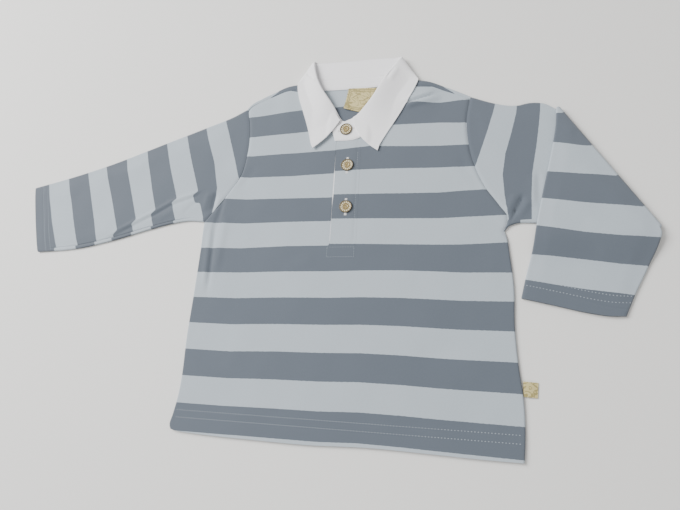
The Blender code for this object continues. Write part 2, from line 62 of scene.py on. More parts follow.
mm = 0.001
bodyMid = 168.0  # from the hem line up to the frame's origin
stripe = 24.0  # height of one stripe
jerseyWall = 0.8
backZ = 0.42  # middle of the back panel's wall
frontZ = 2.1  # middle of the front panel's wall
layerStep = frontZ - backZ
edgeRadius = layerStep / 2
underFold = jerseyWall / 2 + edgeRadius  # from a shoulder's outline down to where its fold begins
seamGap = 0.12  # between the edges of pieces that are sewn together
weldWithin = 0.01  # points of a net that are nearer than this are one


# small helpers for nets of points

def smooth(t):
    t = np.clip(t, 0, 1)
    return t * t * (3 - 2 * t)


def ramp(value, start, full):
    # 0 up to the start, then a soft rise to 1; where full is less than start it rises downwards
    return smooth((value - start) / (full - start))


def between(value, begins, ends):
    return ramp(value, *begins) * ramp(value, *ends)


def bump(t):
    return np.exp(-np.asarray(t) ** 2)


def unit(vectors):
    return vectors / np.linalg.norm(vectors, axis=-1, keepdims=True)


def shares(count):
    return np.linspace(0, 1, count)


def stacked(*parts):
    # numbers or arrays side by side, as coordinates
    return np.stack(np.broadcast_arrays(*parts), axis=-1)


def axesAt(degrees):
    # the direction that is turned so far from x, and the one across it
    turn = math.radians(degrees)
    return np.array([math.cos(turn), math.sin(turn)]), np.array([-math.sin(turn), math.cos(turn)])


def routeThrough(points, even=False):
    # a smooth line through points, as a function of the share of its length
    points = np.array(points, float)
    steps = np.ones(len(points) - 1) if even else np.linalg.norm(np.diff(points, axis=0), axis=1)
    knots = np.concatenate([[0], np.cumsum(steps)]) / steps.sum()
    slopes = np.gradient(points, knots, axis=0)

    def at(share):
        share = np.clip(share, 0, 1)
        i = np.clip(np.searchsorted(knots, share, side="right") - 1, 0, len(steps) - 1)
        span = knots[i + 1] - knots[i]
        w = ((share - knots[i]) / span)[:, None]
        span = span[:, None]
        return ((2 * w**3 - 3 * w**2 + 1) * points[i] + (w**3 - 2 * w**2 + w) * span * slopes[i]
                + (3 * w**2 - 2 * w**3) * points[i + 1] + (w**3 - w**2) * span * slopes[i + 1])

    return at


def spaced(points, count):
    return routeThrough(points)(shares(count))


def joined(*lines):
    return np.concatenate([lines[0]] + [line[1:] for line in lines[1:]])


def fillNet(left, right, bottom, top, across=None):
    # the net between four edges, as rows from bottom to top
    u = shares(len(bottom)) if across is None else np.array(across)
    u = u[None, :, None]
    w = shares(len(left))[:, None, None]
    sides = (1 - u) * left[:, None] + u * right[:, None]
    ends = (1 - w) * bottom[None] + w * top[None]
    corners = ((1 - u) * (1 - w) * bottom[0] + u * (1 - w) * bottom[-1]
               + (1 - u) * w * top[0] + u * w * top[-1])
    return sides + ends - corners


def creases(x, y, rows):
    # soft ridges and troughs: x0, y0, x1, y1, half width, rise. They fade out at both ends
    fade = 0.25
    rise = np.zeros_like(x)
    for x0, y0, x1, y1, width, height in rows:
        length = math.hypot(x1 - x0, y1 - y0)
        along = ((x - x0) * (x1 - x0) + (y - y0) * (y1 - y0)) / length**2
        aside = ((x - x0) * (y1 - y0) - (y - y0) * (x1 - x0)) / length
        rise = rise + height * between(along, (0, fade), (1, 1 - fade)) * bump(aside / width)
    return rise


rippleWaves = ((83, 20, 0.4), (61, 75, 2.1), (47, 130, 4.4), (38, 160, 1.3), (29, 50, 5.2))


def ripple(x, y, height):
    # the slight unevenness of cloth smoothed out by hand, as waves of a length, direction and phase
    total = np.zeros_like(x)
    for length, direction, phase in rippleWaves:
        ahead = axesAt(direction)[0]
        total = total + np.sin((x * ahead[0] + y * ahead[1]) * 2 * math.pi / length + phase)
    return height * total / len(rippleWaves)


def inset(line, amounts):
    # drawn in towards the shirt's middle
    return line - stacked(np.sign(line[:, 0]) * amounts, 0)


def lowered(line, amount):
    return line - stacked(0, amount)


def withHeight(plan, height):
    return stacked(plan[..., 0], plan[..., 1], height)


def gridCloth(points):
    # cloth coordinates of a net from the lengths along and across it
    steps = [np.linalg.norm(np.diff(points, axis=axis), axis=2).mean(axis=1 - axis) for axis in (0, 1)]
    along, across = (np.concatenate([[0], np.cumsum(step)]) for step in steps)
    return stacked(along[:, None], across)


def selectOnly(piece):
    bpy.ops.object.select_all(action="DESELECT")
    piece.select_set(True)
    bpy.context.view_layer.objects.active = piece


def applyModifier(piece, name, kind, **settings):
    modifier = piece.modifiers.new(name, kind)
    for key, value in settings.items():
        setattr(modifier, key, value)
    selectOnly(piece)
    bpy.ops.object.modifier_apply(modifier=name)


def addObject(name, data):
    thing = bpy.data.objects.new(name, data)
    bpy.context.scene.collection.objects.link(thing)
    return thing


def declarePiece(piece, node=None):
    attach(piece, "root")
    if node:
        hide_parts(node)
    return piece


def clothPiece(name, node, nets, wall, cloth, ring=False):
    # a thin shell on nets of points, each with its cloth coordinates; cloth is a finish and its slot, and the
    # slot is not used
    material, slot = cloth
    work = bmesh.new()
    uvLayer = work.loops.layers.uv.new("cloth")
    for points, places in nets:
        points = (points - np.array([0, bodyMid, 0])) * mm
        places = places * mm
        rows, columns = points.shape[:2]
        corners = [[work.verts.new(point) for point in row] for row in points]
        for i in range(rows - 1):
            for j in range(columns if ring else columns - 1):
                k = (j + 1) % columns
                around = ((i, j), (i, k), (i + 1, k), (i + 1, j))
                face = work.faces.new([corners[a][b] for a, b in around])
                for loop, (a, b) in zip(face.loops, around):
                    loop[uvLayer].uv = places[a, b]
    bmesh.ops.remove_doubles(work, verts=work.verts, dist=weldWithin * mm)
    bmesh.ops.recalc_face_normals(work, faces=work.faces)
    mesh = bpy.data.meshes.new(name)
    work.to_mesh(mesh)
    work.free()
    mesh.materials.append(material)
    piece = addObject(name, mesh)
    applyModifier(piece, "wall", "SOLIDIFY", thickness=wall * mm, offset=0)
    bpy.ops.object.shade_smooth_by_angle(angle=math.radians(45))
    return declarePiece(piece, node)


# what every material is made with

def toLinear(hexTint):
    parts = [int(hexTint[i:i + 2], 16) / 255 for i in (1, 3, 5)]
    return (*[p / 12.92 if p <= 0.04045 else ((p + 0.055) / 1.055) ** 2.4 for p in parts], 1.0)


def shaded(tint, share):
    return (*[part * share for part in tint[:3]], 1.0)


def addNode(tree, kind, *feeds, **named):
    # one node: the feeds go in order to the sockets that it uses, and what is named goes to its settings
    # or its sockets. A feed is a value or another node's output, and the node's first output comes back
    node = tree.nodes.new("ShaderNode" + kind)
    for key, value in named.items():
        if key not in node.inputs:
            setattr(node, key, value)
    pairs = list(zip([socket for socket in node.inputs if socket.enabled], feeds))
    pairs += [(node.inputs[key], value) for key, value in named.items() if key in node.inputs]
    for socket, value in pairs:
        if isinstance(value, bpy.types.NodeSocket):
            tree.links.new(value, socket)
        else:
            socket.default_value = value
    return next(socket for socket in node.outputs if socket.enabled)


def newMaterial(name, **shaderValues):
    # a material, and a function that adds nodes to it
    material = bpy.data.materials.new(name)
    material.use_nodes = True
    shader = material.node_tree.nodes["Principled BSDF"]
    for key, value in shaderValues.items():
        shader.inputs[key.replace("_", " ")].default_value = value
    return material, functools.partial(addNode, material.node_tree)


def mottled(add, place, patch, detail, first, last):
    # a colour that drifts from one tint to another in soft patches of a size in millimetres
    cloud = add("TexNoise", Vector=place, Scale=1 / (patch * mm), Detail=detail)
    return add("Mix", cloud, first, last, data_type="RGBA")


def dress(material, colour, height=None, strength=0.0, depth=0.0):
    # a colour on the shader, and a height as relief of a depth in millimetres
    tree = material.node_tree
    shader = tree.nodes["Principled BSDF"]
    tree.links.new(colour, shader.inputs["Base Color"])
    if height is not None:
        relief = addNode(tree, "Bump", Height=height, Strength=strength, Distance=depth * mm)
        tree.links.new(relief, shader.inputs["Normal"])


# camera, floor and light

cameraFacts = {
    "place": (0.1113, -0.1309, 0.4212),
    "turn": (16.58, 14.27, 3.51),  # degrees about x, y and z
    "sensor": 36.0,
    "lens": 500 / 680 * 36,  # 500 pixels of the photo's 680 give its field of view
    "nearest": 0.01,
}
floorFacts = {"size": 3.2, "below": 0.0001, "tint": "#E5E4E1", "shade": 0.97, "patch": 330, "rough": 0.75}
lightFacts = (
    # name, place, aimed at, width, power, spread, tint
    ("windowLight", (-1.5, 0.72, 1.5), (0.0, 0.0, 0), 1.3, 61.0, 150, "#FFFFFF"),
    ("roomFill", (-0.2, -1.3, 1.5), (0.0, 0.0, 0), 1.8, 11.0, 180, "#FFFDFA"),
)
worldFacts = {"tint": "#ECECEC", "strength": 0.64}


def buildStage():
    camera = addObject("photoCamera", bpy.data.cameras.new("photoCamera"))
    camera.data.sensor_width = cameraFacts["sensor"]
    camera.data.lens = cameraFacts["lens"]
    camera.data.clip_start = cameraFacts["nearest"]
    camera.location = cameraFacts["place"]
    camera.rotation_euler = [math.radians(a) for a in cameraFacts["turn"]]
    bpy.context.scene.camera = camera

    bpy.ops.mesh.primitive_plane_add(size=floorFacts["size"], location=(0, 0, -floorFacts["below"]))
    floor = bpy.context.object
    floor.name = "floor"
    # a plain white cotton sheet: matt, with the faintest drift of tone
    material, add = newMaterial("whiteSheet", Roughness=floorFacts["rough"])
    place = add("TexCoord").node.outputs["Object"]
    tint = toLinear(floorFacts["tint"])
    dress(material, mottled(add, place, floorFacts["patch"], 2, tint, shaded(tint, floorFacts["shade"])))
    floor.data.materials.append(material)

    for name, place, aim, width, power, spread, tint in lightFacts:
        lamp = bpy.data.lights.new(name, "AREA")
        lamp.size = width
        lamp.energy = power
        lamp.spread = math.radians(spread)
        lamp.color = toLinear(tint)[:3]
        light = addObject(name, lamp)
        light.location = place
        light.rotation_euler = (Vector(aim) - Vector(place)).to_track_quat("-Z", "Y").to_euler()

    world = bpy.data.worlds.new("room")
    world.use_nodes = True
    background = world.node_tree.nodes["Background"]
    background.inputs["Color"].default_value = toLinear(worldFacts["tint"])
    background.inputs["Strength"].default_value = worldFacts["strength"]
    bpy.context.scene.world = world
    print("stage: camera, floor and", len(lightFacts), "lights")


buildStage()


# the two main cloths. Sizes are in millimetres, and a shade is the share of the tint in its darker patches

jerseyFacts = {
    "dark": "#575F69",  # slate blue yarn
    "light": "#A8B2BA",  # pale grey-blue yarn
    "wale": 1.0,  # between ribs; real ones are 0.7, too fine to show
    "course": 0.8,  # between rows of stitches; real ones are 0.6
    "knit": 0.5,  # share of the knit in the relief, beside the loose fibre
    "relief": (0.35, 0.2),  # strength and depth
    "edgeWander": 0.35,  # by which the stripes' edges wander from stitch to stitch
    "wanderPatch": 2.4,
    "heatherPatch": 1.4,  # flecks of the yarn; real ones are a stitch wide
    "heather": (0.16, 0.90),  # how much they change the tone, and its least
    "cloudPatch": 45,  # handled cloth is never quite even
    "cloud": 0.06,
}
cottonFacts = {
    "tint": "#F7F6F8",
    "thread": 0.6,  # real ones are 0.4, too fine to show
    "patch": 28,
    "shade": 0.95,
    "weave": 0.3,  # share of the weave in the relief
    "relief": (0.25, 0.15),
}
fuzzPatch = 1.1  # loose fibre on any cloth; real fibre is far finer


def weaveHeight(add, place, across, along, strength):
    # two crossed sets of ribs under loose fibre, as a height
    parts = add("SeparateXYZ", place).node.outputs
    waves = []
    for axis, pitch in (("X", across), ("Y", along)):
        turns = add("Math", parts[axis], 2 * math.pi / (pitch * mm), operation="MULTIPLY")
        waves.append(add("Math", turns, operation="SINE"))
    ribs = add("Math", *waves, operation="MULTIPLY")
    fuzz = add("TexNoise", Vector=place, Scale=1 / (fuzzPatch * mm), Detail=3)
    return add("Math", ribs, strength, fuzz, operation="MULTIPLY_ADD")


def jersey():
    # cotton jersey, yarn-dyed and weft-knitted: matt, with a faint bloom of loose fibre
    facts = jerseyFacts
    material, add = newMaterial("cottonJersey", Roughness=0.88, Sheen_Weight=0.25, Sheen_Roughness=0.6,
                                 Specular_IOR_Level=0.25)
    place = add("UVMap", uv_map="cloth")
    wander = add("TexNoise", Vector=place, Scale=1 / (facts["wanderPatch"] * mm), Detail=2)
    along = add("SeparateXYZ", place).node.outputs["Y"]
    along = add("Math", wander, 2 * facts["edgeWander"] * mm, along, operation="MULTIPLY_ADD")
    pairs = add("Math", along, 2 * stripe * mm, operation="DIVIDE")
    part = add("Math", pairs, operation="FRACT")
    isLight = add("Math", part, 0.5, operation="GREATER_THAN")
    dark, light = toLinear(facts["dark"]), toLinear(facts["light"])
    striped = add("Mix", isLight, dark, light, data_type="RGBA")
    heather = add("TexNoise", Vector=place, Scale=1 / (facts["heatherPatch"] * mm), Detail=4,
                      Roughness=0.7)
    cloud = add("TexNoise", Vector=place, Scale=1 / (facts["cloudPatch"] * mm), Detail=2)
    tone = add("Math", heather, *facts["heather"], operation="MULTIPLY_ADD")
    tone = add("Math", cloud, facts["cloud"], tone, operation="MULTIPLY_ADD")
    colour = add("VectorMath", striped, tone, operation="SCALE")
    knit = weaveHeight(add, place, facts["wale"], facts["course"], facts["knit"])
    dress(material, colour, knit, *facts["relief"])
    return material


def plainCotton():
    # bleached cotton twill, pressed: matt white with the least of a lilac cast
    facts = cottonFacts
    material, add = newMaterial("whiteTwill", Roughness=0.82, Sheen_Weight=0.15, Sheen_Roughness=0.5,
                                 Specular_IOR_Level=0.3)
    place = add("UVMap", uv_map="cloth")
    tint = toLinear(facts["tint"])
    colour = mottled(add, place, facts["patch"], 3, tint, shaded(tint, facts["shade"]))
    weave = weaveHeight(add, place, facts["thread"], facts["thread"], facts["weave"])
    dress(material, colour, weave, *facts["relief"])
    return material


jerseyCloth = (jersey(), "striped_jersey")  # a finish and the slot that it belongs to
whiteCloth = (plainCotton(), "white_cotton")
print("cloths: striped jersey and white twill")


# the collar comes first, because the panels' necklines follow its seam

collarFacts = {
    "columns": "seamX seamY rise rollX rollY rollZ leafX leafY leafZ turn bow".split(),
    "rows": (
        # from its right front end round the neck to its left one. rise: 0 on the back, 1 on the front and
        # 2.05 on the placket. turn: the side of the stand that the fall comes down on, 0 above, 180 below
        (6, 276, 1, 6, 292, 2.2, -36.3, 266.5, 3.2, 0, 0),
        (-5, 276, 1, -3, 293.5, 2.2, -36.3, 266.5, 3.2, 0, 0),
        (-14.5, 281, 1, -10, 296.5, 2.3, -36.3, 266.5, 3.2, 0, 2.8),
        (-19.5, 286.5, 1, -14, 302.5, 3.0, -38.6, 272, 3.2, 0, 1.2),
        (-26, 291, 1, -18.5, 310.5, 4.6, -41.2, 281, 3.2, 0, 0),
        (-33, 297, 1, -24.2, 319, 6.4, -45, 294, 3.2, 0, 0),
        (-39, 308, 1, -30, 328, 7.4, -50, 309, 3.2, 0, 0),
        (-44.5, 319.5, 1, -35.8, 340, 7.6, -54.5, 322, 3.2, 0, 0),
        (-48.5, 329.5, 1, -39.4, 351.5, 7.0, -57.5, 334, 3.6, 0, 0),
        (-50.3, 335.8, 1, -40.6, 359.5, 6.0, -58, 340.6, 4.6, 25, 0),
        (-50.6, 338.6, 0.5, -40.6, 363.3, 4.8, -57.8, 342.9, 2.9, 90, 0),
        (-48.6, 337.4, 0, -38.8, 363, 3.9, -56.5, 341.6, 0.75, 155, 0),
        (-42, 334.5, 0, -32, 362.4, 3.6, -48, 331, 0.75, 180, 0),
        (-30, 331.5, 0, -20, 361.8, 3.6, -28, 323.5, 0.75, 180, 0),
        (0, 330, 0, 0, 361, 3.6, 0, 321.5, 0.75, 180, 0),
        (26, 330, 0, 24, 360.5, 3.6, 28, 322.5, 0.75, 180, 0),
        (42, 331.3, 0, 36.5, 359.6, 3.6, 48, 326, 0.75, 180, 0),
        (51.2, 331, 0, 43.8, 359.2, 3.8, 61.5, 333.4, 0.75, 155, 0),
        (53, 331.4, 0.5, 46.5, 358, 4.9, 63.9, 334.4, 2.9, 90, 0),
        (52.6, 328, 1, 45.6, 353.6, 6.1, 64.2, 331.4, 4.6, 25, 0),
        (50.5, 319.5, 1, 41, 346, 7.0, 61.2, 324, 3.6, 0, 0),
        (46, 309, 1, 35, 338, 7.6, 55.6, 312.2, 3.2, 0, 0),
        (40, 299.5, 1, 28, 326, 7.4, 48.8, 300.2, 3.2, 0, 0),
        (32.5, 291, 1, 21, 314.5, 6.4, 42.2, 289, 3.2, 0, 0),
        (23.5, 284.5, 1.2, 13.5, 305.5, 5.2, 35.4, 277.6, 3.2, 0, 0),
        (16.5, 279.6, 1.6, 8, 300.2, 4.4, 29.8, 266.9, 3.2, 0, -2.1),
        (9.3, 275.3, 2.05, 2.2, 296.7, 4.0, 27.8, 260.2, 3.2, 0, -5),
        (0.5, 273.2, 2.05, -6.2, 293.4, 3.65, 27.8, 260.2, 3.2, 0, 0),
        (-14.7, 273.6, 2.05, -18.1, 285.3, 3.65, 27.8, 260.2, 3.2, 0, 0),
    ),
    "steps": 8,  # sections made from each of the table's rows
    "fallRows": (2, 26),  # those that the fall is sewn between
    "necklines": {"left": (2, 9), "back": (11, 17), "right": (19, 26)},  # and that the panels follow
    "wall": 1.0,
    "seamGap": 0.9,  # from the seam to the panels' edges
    "seamLift": 0.75,  # at the back, where the stand lies on the panel's edge
    "seamSink": (0.55, 0.07),  # how deep the stand's lower edge is pressed, over which share of its height
    "bandSeam": 0.36,  # share of the stand's height at which its upper seam shows at the back
    "bandGroove": (0.7, 0.02),  # depth, and half width as a share of the height
    "bandStep": (0.35, 0.06),
    "bandTurn": (100, 160),  # it shows where the fall turns to the stand's outer side
    "rollRadius": 1.1,
    "endRadius": 0.2,  # share of it that is left at the front ends
    "neckMiddle": 4.0,  # how far right the neck's middle lies
    "standColumns": 46,  # of the nets: up the stand, over the roll and down the leaves
    "rollColumns": 13,
    "leafColumns": 30,
    "clearance": 0.15,  # under the leaves
    "overPlacket": (1.1, (-25, -19), (22, 16), (266, 271)),  # their rise over its top: height and places
    "endLift": (2.0, 0.6),  # by which the right and the left leaf's front edge stands off the cloth,
    "liftRows": (3.0, 2.2),  # and over how many rows that fades
    "hemGroove": (0.12, 0.93, 0.02),  # the leaves' topstitching: depth, share of the drop, half width
    "creases": (
        (-50, 354, -39.5, 341.5, 1.4, -1.4),
        (-47, 348, -38, 338, 1.8, 0.5),
        (33, 333, 42, 349, 1.6, -0.8),
        (37, 331, 46, 347, 2.2, 0.5),
        (-46, 300, -42, 276, 3.0, 0.35),
    ),
}


def neckline(side):
    first, last = collarFacts["necklines"][side]
    seam = np.array([row[:2] for row in collarFacts["rows"][first:last + 1]], float)
    along = unit(np.gradient(seam, axis=0))
    return seam - collarFacts["seamGap"] * stacked(along[:, 1], -along[:, 0])


# how the body's cloth lies. A pair of places is where something starts and where it is full

bodyFacts = {
    "left": {
        "side": ((-149.6, 0.2), (-150.9, 2.6), (-149.4, 12), (-147, 26), (-146.2, 86), (-145, 132),
                 (-144.5, 168)),
        "underarm": ((-144.5, 168), (-144.5, 182), (-144.5, 195.5)),
        "armhole": ((-144.5, 195.5), (-129, 215), (-120, 228), (-112, 241), (-107, 264), (-107, 292),
                    (-112, 318)),
        "shoulder": ((-112, 319.3), (-108, 323.8), (-97, 329.6), (-84, 335), (-70, 339.6), (-53.6, 341.2)),
    },
    "right": {
        "side": ((148, -2.9), (149, 9), (149, 44), (146.5, 66), (144.5, 99), (145, 128), (141.5, 168)),
        "underarm": ((141.5, 168), (140.2, 173.5), (138.5, 178.5)),
        "armhole": ((138.5, 178.5), (141, 184), (141.8, 190), (134.8, 202.5), (123.5, 220), (115, 241),
                    (110, 265), (109, 286), (112.5, 309.5)),
        "shoulder": ((112.5, 310.5), (103, 316), (91, 322.5), (75, 330), (64, 332.5), (55, 334.7)),
    },
    "hem": ((-149.6, 0.2), (-146, -1), (-137, -1.7), (-105, -2.9), (-73, -3.3), (-14, -3.4), (24, -1.8),
            (82, -2.3), (116, -2.9), (148, -2.9)),
    "underarmRows": 8,
    "shoulderWrap": (1.5, 5.0),  # how far the back comes over the fold, at the sleeve and neck
    "slot": (-13.5, 11.4, 168.0),  # where the placket is let in: left, right, foot
    "neckLift": 1.6,  # the collar's back half lies under the neck
    "liftUp": (284, 318),  # where that begins up the shirt, and out from its middle
    "liftOut": (88, 66),
    "liftMiddle": 1,
    "stripes": {
        # the height of each stripe's lower edge, at these places across the shirt
        "across": (-145, -100, -80, -55, -13.5, -13.1, 20, 55, 85, 103, 145),
        0: (-0.9, -0.7, -0.5, -0.4, -0.2, -0.2, 1.4, 1.2, 0.5, 0.2, -0.5),
        3: (71, 70, 70.8, 71.5, 71.8, 71.8, 72.8, 72.3, 71.1, 70.8, 70.4),
        6: (144, 143.2, 143.6, 144, 144, 144, 144.7, 144.5, 143.6, 142.7, 142.6),
        7: (168.5, 167.2, 167.8, 168.4, 168.3, 169.9, 169.2, 168.2, 167.5, 167.4, 168.8),
        9: (221, 217.2, 216.8, 216.2, 215.4, 218.2, 217.6, 216.6, 215.9, 216.9, 217.5),
        10: (245, 240.6, 240, 239.4, 240, 242, 242.2, 241.3, 240.1, 240, 240),
        11: (268, 263.8, 264, 264, 264.2, 264.3, 266.4, 263.6, 262, 261.7, 261.5),
        12: (288, 285.3, 286, 286.4, 288, 288, 288, 286.8, 285.6, 284, 284),
        13: (309, 308.7, 310, 311, 312, 312, 312, 309.2, 306.8, 307.8, 308),
    },
    "shoulderFrom": 13,  # above this stripe they follow the shoulders
    "shoulderStripes": {
        "across": (-113, -96, -80, -66, -59, -50, 0, 50, 64, 76, 85, 90, 94, 97, 100, 112),
        13: (309, 308.8, 310, 310.5, 310.8, 311, 312, 309.8, 308.5, 307.5, 306.8, 306.9, 307, 307.2, 307.5,
             307.8),
        14: (341, 340, 339.5, 335.2, 333, 333, 336, 330, 325.2, 324.2, 325.9, 324.1, 322.5, 320.9, 319.5,
             311.5),
        15: (363, 362, 360, 358, 357, 357, 360, 352, 342, 340, 338, 337, 336, 335, 334, 330),
        16: (387, 386, 384, 382, 381, 381, 384, 378, 374, 370, 365, 360, 355, 350, 346, 340),
    },
}
hemFacts = {
    "height": 19.0,  # of the turned-up hem and cuffs, above their edge
    "thicker": {"body": 0.3, "cuff": 0.35},
    "rows": {"body": (16.5, 10.3), "cuff": (16.8, 11.2)},  # the twin-needle stitching
    "pull": (0.28, 0.9),  # which pulls the cloth in so far, to this half width
    "step": 1.5,
}


def stripeCount(across, along, table):
    # how many stripes in a point lies, from a table of the places of the stripes' edges
    counts = [key for key in table if key != "across"]
    lines = np.array([np.interp(across, table["across"], table[count]) for count in counts])
    place = np.clip((along[None] > lines).sum(axis=0) - 1, 0, len(counts) - 2)
    below = np.take_along_axis(lines, place[None], axis=0)[0]
    above = np.take_along_axis(lines, place[None] + 1, axis=0)[0]
    low, high = np.array(counts)[place], np.array(counts)[place + 1]
    return low + (high - low) * (along - below) / (above - below)


def bodyCloth(plan):
    x, y = plan[..., 0], plan[..., 1]
    last = bodyFacts["shoulderFrom"]
    count = np.minimum(stripeCount(x, y, bodyFacts["stripes"]), last)
    shoulder = stripeCount(x, y, bodyFacts["shoulderStripes"])
    return stacked(x, stripe * np.where(shoulder > last, shoulder, count))


def neckLift(x, y):
    out = np.abs(x - bodyFacts["liftMiddle"])
    return bodyFacts["neckLift"] * ramp(y, *bodyFacts["liftUp"]) * ramp(out, *bodyFacts["liftOut"])


def turnedHem(distance, kind):
    # a turned-up hem is a little thicker, and its stitching pulls it in
    height, (depth, width) = hemFacts["height"], hemFacts["pull"]
    rise = hemFacts["thicker"][kind] * ramp(distance, height, height - hemFacts["step"])
    for row in hemFacts["rows"][kind]:
        rise = rise - depth * bump((distance - row) / width)
    return rise


def hemLine(x):
    line = spaced(bodyFacts["hem"], 60)
    return np.interp(x, line[:, 0], line[:, 1])


def shoulderLine(points, count):
    return spaced(points, count), np.linspace(*bodyFacts["shoulderWrap"], count)


frontFacts = {
    "lowRows": 74,  # below the placket's foot
    "highRows": 112,
    "columns": 84,  # beside the placket
    "slotColumns": 14,  # under its foot
    "shoulderColumns": 30,
    "neckShare": 0.42,  # of its width on either side, where the shoulder ends
    "edgeTurns": (0, 18, 36, 54, 72, 90),  # degrees round the side edges, outermost first
    "puff": 0.8,  # air under the front
    "puffReach": 104,
    "puffUp": (-2, 28),
    "puffDown": (300, 260),
    "ripple": 0.28,
    "rippleIn": (138, 126),
    "rippleUp": (2, 16),
    "edgeFade": 10,  # below the armhole, over which the rounded side edge fades out
    "armholeDip": (0.85, 1.3),  # depth and half width of the seams' hollows
    "shoulderDip": (0.4, 1 / 30),
    "shoulderSeam": (50, 54),
    "creases": (
        (-126, 222, -133, 178, 2.2, -1.3),
        (-132, 205, -131, 118, 2.2, -1.1),
        (-137, 196, -135.5, 125, 3.2, 0.8),
        (-121, 205, -125, 140, 4.0, 0.7),
        (48, 307.5, 84, 317, 1.5, -2.3),
        (48, 307.5, 84, 317, 4.0, 1.5),
        (50, 304.5, 88, 312.5, 2.2, 1.0),
        (54, 314.5, 80, 320, 2.0, 0.4),
        (100, 250, 122, 215, 5.0, -0.4),
        (-95, 255, -110, 225, 5.0, -0.35),
        (18, 150, 70, 138, 7.0, 0.3),
        (-24, 160, -60, 140, 6.0, 0.3),
        (-110, 60, -60, 50, 9.0, 0.3),
        (60, 70, 125, 84, 9.0, -0.3),
    ),
}


def frontShape(x, y):
    # how much higher the front lies than flat cloth
    facts = frontFacts
    puff = facts["puff"] * np.clip(1 - (x / facts["puffReach"]) ** 2, 0, 1)
    puff = puff * between(y, facts["puffUp"], facts["puffDown"])
    free = ramp(np.abs(x), *facts["rippleIn"]) * ramp(y, *facts["rippleUp"])
    return (neckLift(x, y) + puff + creases(x, y, facts["creases"]) + ripple(x, y, facts["ripple"]) * free
            + turnedHem(y, "body"))


def frontHalf(outline, neck, slotX):
    # one side's nets, below the placket's foot and above it, from the outer edge in to the placket
    facts = frontFacts
    lip = jerseyWall / 2
    foot = bodyFacts["slot"][2]
    lowSide = inset(spaced(outline["side"], facts["lowRows"]), lip)
    width = abs(lowSide[-1][0] - slotX)
    steps = edgeRadius * (1 - np.cos(np.radians(facts["edgeTurns"])))
    across = np.concatenate([steps, np.linspace(edgeRadius + 1.0, width, facts["columns"])]) / width
    hemX = lowSide[0][0] + (slotX - lowSide[0][0]) * across
    hem = stacked(hemX, hemLine(hemX))
    lowSide[0] = hem[0]
    slotLow = stacked(slotX, np.linspace(hem[-1][1], foot, facts["lowRows"]))
    level = lowSide[-1] + (slotLow[-1] - lowSide[-1]) * across[:, None]
    lower = fillNet(lowSide, slotLow, hem, level, across)

    underRows = bodyFacts["underarmRows"]
    highSide = joined(inset(spaced(outline["underarm"], underRows), lip * np.linspace(1, 0, underRows)),
                      spaced(outline["armhole"], facts["highRows"] - underRows + 1))
    line, wrap = shoulderLine(outline["shoulder"], facts["shoulderColumns"])
    seam = lowered(line, underFold + seamGap + wrap)
    highSide[-1] = seam[0]
    corner = np.array([neck[0][0], seam[-1][1]])
    seam[-1] = corner
    neck[-1] = (slotX, np.interp(abs(slotX), abs(neck[::-1, 0]), neck[::-1, 1]))
    neckShare = facts["neckShare"]
    onNeck = across > neckShare
    top = np.concatenate([
        routeThrough(seam)(across[~onNeck] / neckShare),
        routeThrough(np.concatenate([[corner], neck[1:]]))((across[onNeck] - neckShare) / (1 - neckShare))])
    slotHigh = stacked(slotX, np.linspace(foot, neck[-1][1], len(highSide)))
    return lower, fillNet(highSide, slotHigh, level, top, across)


def sinkEdges(net, armFoot, isUpper):
    # rounds a side edge down to the back, and draws the armhole and the shoulder into their seams
    facts = frontFacts
    x, y = net[..., 0], net[..., 1]
    rounded = smooth((armFoot - y[:, 0]) / facts["edgeFade"])
    for column, turn in enumerate(facts["edgeTurns"]):
        drop = edgeRadius * (1 - math.sin(math.radians(turn)))
        net[:, column, 2] -= drop * rounded + (net[:, column, 2] - frontZ) * rounded * (drop / edgeRadius)
    net[..., 2] = np.maximum(net[..., 2], backZ + jerseyWall + neckLift(x, y))
    depth, width = facts["armholeDip"]
    net[..., 2] -= depth * (1 - rounded)[:, None] * bump(np.abs(x - x[:, :1]) / width)
    if isUpper:
        depth, width = facts["shoulderDip"]
        fromTop = 1 - shares(len(net))[:, None]
        net[..., 2] -= depth * bump(fromTop / width) * ramp(np.abs(x), *facts["shoulderSeam"])


def buildFront():
    leftSlot, rightSlot = bodyFacts["slot"][:2]
    left = frontHalf(bodyFacts["left"], neckline("left")[::-1], leftSlot)
    right = frontHalf(bodyFacts["right"], neckline("right"), rightSlot)
    share = shares(frontFacts["slotColumns"])[None, :, None]
    underSlot = left[0][:, -1:] + (right[0][:, -1:] - left[0][:, -1:]) * share
    nets = []
    for side, plans in (("left", left), ("right", right), (None, (underSlot,))):
        for isUpper, plan in enumerate(plans):
            net = withHeight(plan, frontZ + frontShape(plan[..., 0], plan[..., 1]))
            if side:
                sinkEdges(net, bodyFacts[side]["armhole"][0][1], isUpper)
            order = slice(None, None, -1 if side == "right" else 1)
            nets.append((net[:, order], bodyCloth(plan)[:, order]))
    return clothPiece("frontPanel", "front", nets, jerseyWall, jerseyCloth)


backFacts = {
    "sideRows": 60,  # and as many up the armhole
    "shoulderColumns": 34,
    "neckColumns": 50,
    "hemRaised": 0.6,  # its hem stays out of sight under the front's
    "foldTurns": 11,  # rows round the shoulder's fold, and shares of the wrap where the next ones lie
    "wrapShares": (0.35, 0.7, 0.9, 1.0),
    "edgeDip": 0.35,  # of the wrapped edge, into its seam
}


def backSide(outline):
    lip, underRows = jerseyWall / 2, bodyFacts["underarmRows"]
    lower = inset(spaced(outline["side"], backFacts["sideRows"]), lip)
    upper = inset(spaced(outline["underarm"], underRows), lip * np.linspace(1, 0, underRows))
    return joined(lower, upper, spaced(outline["armhole"], backFacts["sideRows"]))


